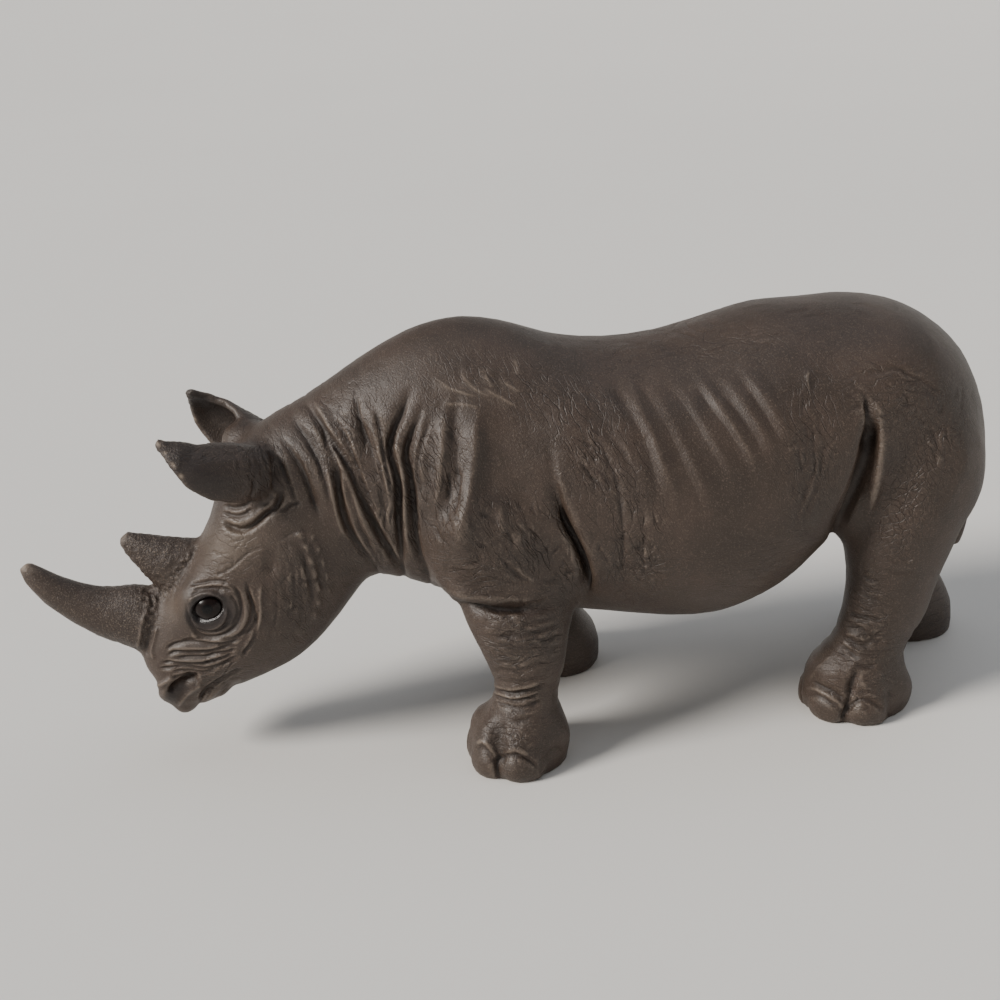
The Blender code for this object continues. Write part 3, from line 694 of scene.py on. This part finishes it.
def from_middle(drawn, x, y, half_across, half_down, turn):
    """How far each point lies from an oval's middle, 1 on the oval."""
    angle = math.radians(turn)
    across = (drawn[:, 0] - x) * math.cos(angle) + (drawn[:, 1] - y) * math.sin(angle)
    down = (drawn[:, 1] - y) * math.cos(angle) - (drawn[:, 0] - x) * math.sin(angle)
    return np.hypot(across / half_across, down / half_down)


def find_normals(mesh):
    normals = np.empty(len(mesh.vertices) * 3)
    mesh.vertices.foreach_get("normal", normals)
    return normals.reshape(-1, 3)


def find_points(mesh):
    points = np.empty(len(mesh.vertices) * 3)
    mesh.vertices.foreach_get("co", points)
    return points.reshape(-1, 3) / MM


def put_points(mesh, points):
    mesh.vertices.foreach_set("co", (points * MM).ravel())
    mesh.update()


def keep_above_floor(mesh):
    """Lifts what has sunk below the soles back to the floor."""
    points = find_points(mesh)
    points[:, 2] = np.maximum(points[:, 2], 0)
    put_points(mesh, points)


def apply_modifiers(made):
    """Bakes the object's modifiers into its mesh."""
    graph = bpy.context.evaluated_depsgraph_get()
    mesh = bpy.data.meshes.new_from_object(made.evaluated_get(graph))
    old = made.data
    made.modifiers.clear()
    made.data = mesh
    bpy.data.meshes.remove(old)


def copy_of_solid(name):
    """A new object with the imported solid's mesh, its loose triangles joined."""
    shape = bmesh.new()
    shape.from_mesh(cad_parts["rhinoceros"].data)
    bmesh.ops.remove_doubles(shape, verts=shape.verts, dist=0.001 * MM)
    mesh = bpy.data.meshes.new(name)
    shape.to_mesh(mesh)
    shape.free()
    made = bpy.data.objects.new(name, mesh)
    bpy.context.scene.collection.objects.link(made)
    return made


def refine(made):
    """Remeshes the copy fine and smooths its facets away, thin parts less."""
    remesh = made.modifiers.new("refine", "REMESH")
    remesh.mode = "VOXEL"
    remesh.voxel_size = CELL * MM
    apply_modifiers(made)
    points = find_points(made.data)
    softened = np.ones(len(points))
    ahead, out, up = -points[:, 0], np.abs(points[:, 1]), points[:, 2]
    leaning = ahead - REAR_HORN_LEAN * (up - REAR_HORN_FOOT)
    ears = region(up, *EAR_ZONE[2]) * region(ahead, *EAR_ZONE[0]) * region(out, *EAR_ZONE[1])
    front_horn = region(ahead, *FRONT_HORN_ZONE[0]) * region(up, *FRONT_HORN_ZONE[1])
    rear_horn = region(leaning, *REAR_HORN_ZONE[0]) * region(up, *REAR_HORN_ZONE[1])
    feet = region(-up, *SOLE_ZONE)
    softened -= SPARED * np.maximum.reduce((ears, front_horn, rear_horn, feet))
    group = made.vertex_groups.new(name="facets")
    steps = 10
    marks = np.round(softened * steps).astype(int)
    for mark in range(1, steps + 1):
        group.add(np.nonzero(marks == mark)[0].tolist(), mark / steps, "REPLACE")
    for name, passes in (("facets", FACET_PASSES), ("all", LAST_PASSES)):
        smooth = made.modifiers.new(name, "SMOOTH")
        smooth.factor = 0.5
        smooth.iterations = passes
        if name == "facets":
            smooth.vertex_group = "facets"
    apply_modifiers(made)
    made.vertex_groups.clear()


class Skin:
    """The body's points, and how they stand to the drawing on its left side."""

    def __init__(self, made, wrap=WRAPS[2]):
        self.mesh = made.data
        self.points = find_points(self.mesh)
        self.normals = find_normals(self.mesh)
        self.twin = left_twin(self.points)
        self.drawn = on_photo(self.twin)
        outward = self.normals.copy()
        outward[self.points[:, 1] > MIDDLE, 1] *= -1
        self.facing = np.clip((-(outward @ FORWARD) + wrap) / (0.4 + wrap), 0, 1)

    def lines(self, *tables, fade_share=LONG_FADE):
        rise = np.zeros(len(self.points))
        for table in tables:
            for depth, width, line in table:
                rise += depth * near_line(self.drawn, line, width, fade_share)
        return rise

    def ovals(self, *tables):
        rise = np.zeros(len(self.points))
        for table in tables:
            for height, *oval in table:
                rise += height * np.exp(-(from_middle(self.drawn, *oval) ** 2))
        return rise

    def move(self, rise):
        put_points(self.mesh, self.points + self.normals * rise[:, None])


def inner_nails(twin):
    """A nail on the inner side of each foot, where the photograph doesn't show it."""
    rise = np.zeros(len(twin))
    aside, spread, height, full, groove = INNER_NAIL
    for x, y, half_length, half_width, stretch in (FORE_FOOT, HIND_FOOT):
        turn = np.degrees(np.arctan2(-(twin[:, 1] - y) / half_width, -(twin[:, 0] - x) / half_length))
        away = np.hypot(twin[:, 0] - x, twin[:, 1] - y)
        out = np.hypot((turn + aside) / spread, twin[:, 2] / (height * stretch))
        here = (away > 4) & (away < 14) & (twin[:, 2] < 9)
        nail = full * np.sqrt(np.clip(1 - out**2, 0, 1)) - groove * np.exp(-(((out - 1.1) / 0.13) ** 2))
        rise[here] += nail[here]
    return rise


def cells(points, marks, sizes):
    """A net of grooves between small cells of skin: 1 in a groove, 0 on a cell."""
    groove = np.zeros(len(points))
    for i in np.nonzero(marks > 0.02)[0]:
        spot = Vector(points[i])
        bent = spot + 0.7 * noise.noise_vector(spot * 0.6)
        away = noise.voronoi(Vector((bent.x / sizes[0], bent.y / sizes[1], bent.z / sizes[2])))[0]
        groove[i] = max(0.0, 1 - (away[1] - away[0]) / 0.28)
    return groove * groove


def wrinkles(skin):
    """Fine grooves that run with the skin, wandering and stopping by chance."""
    rise = np.zeros(len(skin.points))
    for number, (depth, x, y, half_across, half_down, turn, flow, length, apart) in enumerate(WRINKLES):
        share = np.exp(-(from_middle(skin.drawn, x, y, half_across, half_down, turn) ** 2)) * skin.facing
        angle = math.radians(flow)
        along = (skin.drawn[:, 0] * math.cos(angle) + skin.drawn[:, 1] * math.sin(angle)) / length
        beside = (skin.drawn[:, 1] * math.cos(angle) - skin.drawn[:, 0] * math.sin(angle)) / (2 * apart)
        for i in np.nonzero(share > 0.06)[0]:
            wander = noise.noise(Vector((along[i], beside[i] / 3, number)))
            found = noise.noise(Vector((along[i], beside[i] + 1.3 * wander, 10 + number)))
            strength = 0.5 + noise.noise(Vector((1.7 * along[i], beside[i] / 2, 30 + number)))
            rise[i] -= depth * share[i] * max(0.0, strength) * max(0.0, 1 - abs(found) / 0.15)
    return rise


def waves(points, size, seed, marks=None):
    """Soft random swelling between -1 and 1."""
    found = np.zeros(len(points))
    picked = range(len(points)) if marks is None else np.nonzero(marks > 0.02)[0]
    shift = Vector((seed, 2 * seed, 3 * seed))
    for i in picked:
        found[i] = noise.noise(Vector(points[i]) / size + shift)
    return found


def find_horns(drawn, twin):
    """1 on the two horns, 0 on the head, from the lines where they spring from it."""
    front, rear = ((drawn - spot) @ np.array(way) for spot, way in (FRONT_HORN_ROOT, REAR_HORN_ROOT))
    on_rear = region(rear, 1, 6) * region(drawn[:, 1], 528, 531) * region(-drawn[:, 1], -592, -584)
    return np.maximum(region(front, -2, 4), on_rear) * region(-twin[:, 0], 50, 52)


def around(mesh, values, passes):
    """Values averaged over each point's neighbours, again and again."""
    ends = np.empty(len(mesh.edges) * 2, int)
    mesh.edges.foreach_get("vertices", ends)
    ends = ends.reshape(-1, 2)
    count = np.bincount(ends.ravel(), minlength=len(mesh.vertices))[:, None]
    values = values.copy()
    for _ in range(passes):
        total = np.zeros_like(values)
        for axis in range(values.shape[1]):
            total[:, axis] = np.bincount(ends[:, 0], values[ends[:, 1], axis], len(values))
            total[:, axis] += np.bincount(ends[:, 1], values[ends[:, 0], axis], len(values))
        values = 0.5 * values + 0.5 * total / count
    return values


def keep(mesh, name, values):
    """Writes one number to each point, for the materials to read."""
    made = mesh.attributes.new(name, "FLOAT", "POINT")
    made.data.foreach_set("value", np.asarray(values, np.float32))


# The body: from large forms to fine ones
body = copy_of_solid("vinyl_body")
refine(body)
skin = Skin(body, WRAPS[0])
rise = skin.ovals(SWELLINGS) + skin.lines(SHOULDER, RUMP) + RIB_GAIN * skin.lines(RIBS)
skin.move(rise * skin.facing)
skin = Skin(body, WRAPS[1])
rise = skin.lines(NECK, FLANK) + skin.lines(FORE_LEG, HIND_LEG, fade_share=SHORT_FADE) + skin.ovals(BEADS)
skin.move(rise * skin.facing + inner_nails(skin.twin))

# The eyes: a socket pressed into the skin, lids around it and a ball in it
skin = Skin(body)
eye_out = from_middle(skin.drawn, *EYE_OVAL)
near_eye = (eye_out < 0.5) & (skin.facing > 0.5) & (skin.points[:, 1] < MIDDLE)
eye_spot = skin.points[near_eye].mean(0)
eye_way = skin.normals[near_eye].mean(0)
eye_way /= np.linalg.norm(eye_way)
rise = FACE_GAIN * skin.lines(HEAD, EYES, SNOUT, fade_share=SHORT_FADE)
rise -= SOCKET_DEPTH * region(-eye_out, -1.12, -0.9)
skin.move(rise * skin.facing)

# Scratches, the net of small cells, the horns' grain and a little unevenness
skin = Skin(body)
net = np.clip(skin.ovals(NET), 0, 1)
horns = find_horns(skin.drawn, skin.twin)
knobs = np.clip(skin.ovals(KNOBS), 0, 1) * skin.facing
grain = np.maximum(horns * region(skin.drawn[:, 0], 60, 120), knobs)
rise = skin.lines(SCRATCHES) * skin.facing
rise += WRINKLE_GAIN * wrinkles(skin)
rise -= NET_DEPTH * net * cells(skin.twin, net * skin.facing, NET_CELLS) * skin.facing
rise += (GRAIN_DEPTH * grain + KNOB_DEPTH * knobs) * waves(skin.points, GRAIN_SIZE, 5, grain)
rise += UNEVEN_DEPTH * waves(skin.points, UNEVEN_SIZE, 1)
skin.move(rise)
keep_above_floor(body.data)

# What the paint follows: raised and sunken skin (painted shade in the folds, painted highlights on the
# ridges), the net, the horns, pale wear with painted light, dark paint with painted shade, and gloss
skin = Skin(body)
soft = around(body.data, skin.points, 3)
fine = ((skin.points - soft) * skin.normals).sum(1)
softer = around(body.data, soft, 24)
broad = ((skin.points - softer) * skin.normals).sum(1)
raised = np.clip(fine / FINE_RISE, -1, 1) + np.clip(broad / BROAD_RISE, -1, 1)
keep(body.data, "raised", raised / 2)
keep(body.data, "net", np.clip(skin.ovals(NET), 0, 1))
for name, down in (("creased", True), ("ringed", False)):
    found = [(row[0] / DEEP_WRINKLE, *row[1:6]) for row in WRINKLES if (40 < row[6] < 130) == down]
    keep(body.data, name, np.clip(skin.ovals(found), 0, 1))
keep(body.data, "horn", np.maximum(horns * (0.35 + 0.65 * region(skin.drawn[:, 0], 85, 135)), knobs))
keep(body.data, "pale_wear_and_light", np.clip(skin.ovals(PALE_WEAR_AND_LIGHT) + 2.2 * skin.lines(SCRATCHES), 0, 1))
eye_out = from_middle(skin.drawn, *EYE_OVAL)
# Darker: dark paint and painted shade from the table, painted shadow along the lids and a darker ring round
# the eye
darker = skin.ovals(DARK) + skin.facing * (skin.lines(DARK_LINES) + 0.8 * region(-eye_out, -1.75, -1.3))
# On the far ear, painted shadow inside its cup
far_ear = (skin.points[:, 1] > MIDDLE + 4) & (skin.points[:, 2] > 46) & (skin.points[:, 0] < -38)
darker[far_ear] = 0
for share, *oval in FAR_EAR:
    darker[far_ear] += share * np.exp(-(from_middle(on_photo(skin.points[far_ear]), *oval) ** 2))
keep(body.data, "dark", np.clip(darker, 0, 1))
keep(body.data, "wet", region(-eye_out, -1.3, -1.1) * skin.facing)

# Thinned out where it is smooth, the face least
away = (skin.points[:, 0] < FACE_ENDS[0]) | (skin.points[:, 0] > FACE_ENDS[1])
rest = body.vertex_groups.new(name="away from the face")
rest.add(np.nonzero(away)[0].tolist(), 1.0, "REPLACE")
thinner = body.modifiers.new("thin out", "DECIMATE")
thinner.vertex_group = "away from the face"
thinner.vertex_group_factor = THINNED
thinner.ratio = BODY_TRIANGLES / (2 * len(body.data.polygons))
apply_modifiers(body)
body.vertex_groups.clear()
keep_above_floor(body.data)
for face in body.data.polygons:
    face.use_smooth = True


def add_eye(name, side):
    """A glossy ball set in its socket, aimed along the skin's own normal there."""
    spot = eye_spot.copy()
    way = eye_way.copy()
    if side > 0:
        spot[1] = 2 * MIDDLE - spot[1]
        way[1] = -way[1]
    aim = Vector(way).to_track_quat("Z", "Y").to_matrix().to_4x4()
    shape = bmesh.new()
    bmesh.ops.create_uvsphere(shape, u_segments=48, v_segments=32, radius=1.0)
    out = [math.hypot(vert.co.x, vert.co.y) + max(0.0, -vert.co.z) for vert in shape.verts]
    bmesh.ops.scale(shape, vec=Vector(EYE_RADII) * MM, verts=shape.verts)
    bmesh.ops.transform(shape, matrix=aim, verts=shape.verts)
    middle = Vector(spot - way * (EYE_RADII[2] + EYE_SUNK)) * MM
    bmesh.ops.translate(shape, vec=middle, verts=shape.verts)
    for face in shape.faces:
        face.smooth = True
    mesh = bpy.data.meshes.new(name)
    shape.to_mesh(mesh)
    shape.free()
    keep(mesh, "iris", out)
    made = bpy.data.objects.new(name, mesh)
    bpy.context.scene.collection.objects.link(made)
    return made


eyes = [add_eye("left_eye", -1), add_eye("right_eye", 1)]


def tint(code):
    """A colour from its sRGB hex code."""
    parts = [int(code[i : i + 2], 16) / 255 for i in (1, 3, 5)]
    linear = [part / 12.92 if part <= 0.04045 else ((part + 0.055) / 1.055) ** 2.4 for part in parts]
    return (*linear, 1.0)


def repeats(millimetres):
    """The pattern scale that makes its features so many millimetres wide."""
    return 1 / (millimetres * MM)


def new_material(name):
    made = bpy.data.materials.new(name)
    made.use_nodes = True
    return made, made.node_tree, made.node_tree.nodes["Principled BSDF"]


def add(tree, kind, settings=None, inputs=None):
    """Adds a node, with its settings, and its inputs as values or as other nodes' outputs."""
    node = tree.nodes.new("ShaderNode" + kind)
    for name, value in (settings or {}).items():
        setattr(node, name, value)
    for name, value in (inputs or {}).items():
        if isinstance(value, bpy.types.NodeSocket):
            tree.links.new(value, node.inputs[name])
        else:
            node.inputs[name].default_value = value
    return node


def blend(tree, share, first, second, mode="MIX"):
    """Mixes two colours by a share."""
    node = add(tree, "Mix", {"data_type": "RGBA", "blend_type": mode}, {0: share, 6: first, 7: second})
    return node.outputs[2]


def number(tree, operation, first, second=0.0, third=0.0, held=False):
    """The result of a sum on numbers or sockets, held between 0 and 1 if asked."""
    node = add(tree, "Math", {"operation": operation, "use_clamp": held}, {0: first, 1: second, 2: third})
    return node.outputs[0]


def between(tree, value, low, high, start=0.0, end=1.0):
    """Runs smoothly from start to end as the value goes from low to high."""
    inputs = {"Value": value, 1: low, 2: high, 3: start, 4: end}
    return add(tree, "MapRange", {"interpolation_type": "SMOOTHSTEP"}, inputs).outputs[0]


def painted_vinyl():
    """Moulded vinyl, sprayed dull grey-brown, with painted shade in the folds and painted highlights on the
    ridges.
    """
    made, tree, shader = new_material("painted vinyl, with painted fold shade and ridge highlights")
    place = add(tree, "TexCoord").outputs["Object"]
    values = {}
    for name in ("raised", "net", "creased", "ringed", "horn", "pale_wear_and_light", "dark", "wet"):
        values[name] = add(tree, "Attribute", {"attribute_name": name}).outputs["Fac"]
    # The spray coat's slow change of tone, over 10 mm
    spread = {"Vector": place, "Scale": repeats(10), "Detail": 3.0, "Roughness": 0.6}
    mottle = add(tree, "TexNoise", None, spread)
    coat = blend(tree, between(tree, mottle.outputs["Fac"], 0.3, 0.7), tint("#2f241c"), tint("#3b2e25"))
    # Paint grain, a quarter of a millimetre, that gives the skin its dusty sparkle
    fine = {"Vector": place, "Scale": repeats(0.26), "Detail": 2.0, "Roughness": 0.7}
    grain = add(tree, "TexNoise", None, fine).outputs["Fac"]
    coat = blend(tree, between(tree, grain, 0.5, 0.78, 0.0, 0.6), coat, tint("#66574b"))
    # Painted shade that darkens the folds, and painted highlights that lighten the ridges
    sunk = between(tree, values["raised"], -0.1, -0.9, 0.0, 0.55)
    ridge_highlight = between(tree, number(tree, "MULTIPLY_ADD", grain, 0.5, values["raised"]), 0.35, 1.1, 0.0, 0.6)
    coat = blend(tree, sunk, coat, tint("#1c1410"))
    coat = blend(tree, ridge_highlight, coat, tint("#75685c"))
    # The lines of the fine net, 1.2 mm cells bent out of true
    shift = {0: mottle.outputs["Color"], 1: (0.004, 0.004, 0.004), 2: place}
    bent = add(tree, "VectorMath", {"operation": "MULTIPLY_ADD"}, shift).outputs[0]
    cell = {"Vector": bent, "Scale": repeats(1.2)}
    edges = add(tree, "TexVoronoi", {"feature": "DISTANCE_TO_EDGE"}, cell).outputs["Distance"]
    lines = number(tree, "MULTIPLY", between(tree, edges, 0.0, 0.14, 1.0, 0.0), values["net"])
    # Hair-fine creases 1 mm apart, down the trunk and neck, and around the legs
    for name, tilt, sizes in (("creased", -22, (1.1, 3.0, 7.0)), ("ringed", 0, (5.0, 5.0, 1.1))):
        turned = {"Vector": bent, "Rotation": (0.0, math.radians(tilt), 0.0), "Scale": Vector(sizes) * MM}
        spot = add(tree, "Mapping", {"vector_type": "TEXTURE"}, turned).outputs[0]
        found = add(tree, "TexNoise", None, {"Vector": spot, "Scale": 1.0, "Detail": 1.0}).outputs["Fac"]
        off = number(tree, "ABSOLUTE", number(tree, "SUBTRACT", found, 0.5))
        crease = number(tree, "MULTIPLY", between(tree, off, 0.0, 0.035, 1.0, 0.0), values[name])
        lines = number(tree, "MAXIMUM", lines, crease)
    # Painted shade in the grooves of the net and the hair-fine creases
    coat = blend(tree, number(tree, "MULTIPLY", lines, 0.35), coat, tint("#221a16"))
    # Horns: browner, with pale grain where they spring
    horn = blend(tree, between(tree, grain, 0.5, 0.7), tint("#352a24"), tint("#74675a"))
    coat = blend(tree, number(tree, "MULTIPLY", values["horn"], 0.75), coat, horn)
    # Darker marks: dark paint, painted shade and painted shadow
    coat = blend(tree, number(tree, "MULTIPLY", values["dark"], 0.75), coat, tint("#1a1110"))
    # Rubbed pale paint, and painted light on the forehead and the side of the snout
    coat = blend(tree, number(tree, "MULTIPLY", values["pale_wear_and_light"], 0.8), coat, tint("#9c8c7c"))
    coat = blend(tree, number(tree, "MULTIPLY", values["wet"], 0.9), coat, tint("#120b0b"))
    tree.links.new(coat, shader.inputs["Base Color"])
    # Satin paint, a touch glossier where hands have rubbed the ridges
    rough = between(tree, number(tree, "MULTIPLY_ADD", grain, 0.4, values["raised"]), -0.5, 1.1, 0.56, 0.4)
    rough = number(tree, "MULTIPLY_ADD", values["wet"], -0.15, rough, held=True)
    tree.links.new(rough, shader.inputs["Roughness"])
    shader.inputs["Specular IOR Level"].default_value = 0.5
    # Relief too fine for the mesh: the net's grooves and the hair-fine creases, the
    # hide's crumple, 2.4 mm across, and the paint's grain
    hide = {"Vector": place, "Scale": repeats(2.4), "Detail": 4.0, "Roughness": 0.62}
    leather = add(tree, "TexNoise", {"noise_type": "RIDGED_MULTIFRACTAL"}, hide).outputs["Fac"]
    height = number(tree, "MULTIPLY_ADD", lines, -1.3, number(tree, "MULTIPLY", leather, -0.8))
    grit = number(tree, "ADD", values["horn"], 0.9)
    height = number(tree, "MULTIPLY_ADD", grain, grit, height)
    bump = add(tree, "Bump", None, {"Strength": 1.0, "Distance": 0.0001, "Height": height})
    tree.links.new(bump.outputs[0], shader.inputs["Normal"])
    return made


def eye_gloss():
    """Black-brown enamel, brushed on glossy, browner around a soft black pupil."""
    made, tree, shader = new_material("glossy eye enamel")
    iris = add(tree, "Attribute", {"attribute_name": "iris"}).outputs["Fac"]
    place = add(tree, "TexCoord").outputs["Object"]
    streak = {"Vector": place, "Scale": repeats(0.7), "Detail": 2.0}
    streaks = add(tree, "TexNoise", None, streak).outputs["Fac"]
    brown = blend(tree, streaks, tint("#0d0706"), tint("#1c100b"))
    ring = blend(tree, between(tree, iris, 0.28, 0.4), tint("#050404"), brown)
    colour = blend(tree, between(tree, iris, 0.62, 0.85), ring, tint("#0b0706"))
    tree.links.new(colour, shader.inputs["Base Color"])
    rough = between(tree, streaks, 0.3, 0.7, 0.2, 0.28)
    tree.links.new(rough, shader.inputs["Roughness"])
    shader.inputs["Specular IOR Level"].default_value = 0.25
    return made


def pale_paper():
    """Matt studio paper, very slightly uneven."""
    made, tree, shader = new_material("pale studio paper")
    place = add(tree, "TexCoord").outputs["Object"]
    soft = {"Vector": place, "Scale": repeats(250), "Detail": 2.0}
    cloud = add(tree, "TexNoise", None, soft).outputs["Fac"]
    tree.links.new(blend(tree, cloud, tint("#d9d6d1"), tint("#dedbd6")), shader.inputs["Base Color"])
    shader.inputs["Roughness"].default_value = 0.85
    return made


body.data.materials.clear()
body.data.materials.append(painted_vinyl())
gloss = eye_gloss()
for eye in eyes:
    eye.data.materials.append(gloss)
for piece in (body, *eyes):
    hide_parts("rhinoceros")
    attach(piece, "root")

# The camera
camera = bpy.data.objects.new("camera", bpy.data.cameras.new("camera"))
bpy.context.scene.collection.objects.link(camera)
place = Matrix.Identity(4)
for column, axis in enumerate((RIGHT, UP, -FORWARD)):
    for row in range(3):
        place[row][column] = axis[row]
place.translation = Vector((LOOK_AT - CAMERA_AWAY * FORWARD) * MM)
camera.matrix_world = place
camera.data.sensor_width = SENSOR_MM
camera.data.lens = FOCAL_PIXELS * SENSOR_MM / IMAGE_PIXELS
camera.data.clip_start = 0.005
bpy.context.scene.camera = camera

# The floor, flat under the figure and rising far off all round, so no edge shows
shape = bmesh.new()
bmesh.ops.create_grid(shape, x_segments=60, y_segments=60, size=FLOOR_HALF)
for vert in shape.verts:
    out = max(0.0, math.hypot(vert.co.x, vert.co.y) - FLOOR_FLAT)
    vert.co.z = FLOOR_RISE * out * out
for face in shape.faces:
    face.smooth = True
mesh = bpy.data.meshes.new("floor")
shape.to_mesh(mesh)
shape.free()
floor = bpy.data.objects.new("floor", mesh)
bpy.context.scene.collection.objects.link(floor)
floor.data.materials.append(pale_paper())

world = bpy.data.worlds.new("studio")
bpy.context.scene.world = world
world.use_nodes = True
world.node_tree.nodes["Background"].inputs["Color"].default_value = tint("#e6ecf5")
world.node_tree.nodes["Background"].inputs["Strength"].default_value = WORLD_STRENGTH


def soft_sun(name, way, strength, spread, colour):
    """Light from a wide, far source, so the floor is lit alike everywhere."""
    lamp = bpy.data.lights.new(name, "SUN")
    lamp.energy = strength
    lamp.angle = math.radians(spread)
    lamp.color = colour
    made = bpy.data.objects.new(name, lamp)
    bpy.context.scene.collection.objects.link(made)
    made.location = Vector(way) * -1
    made.rotation_euler = Vector(way).to_track_quat("-Z", "Y").to_euler()


soft_sun("key", (0.8, 0.22, -0.56), 4.4, 20, (1.0, 0.96, 0.91))
soft_sun("fill", (-0.25, -0.1, -0.96), 0.55, 60, (0.86, 0.92, 1.0))
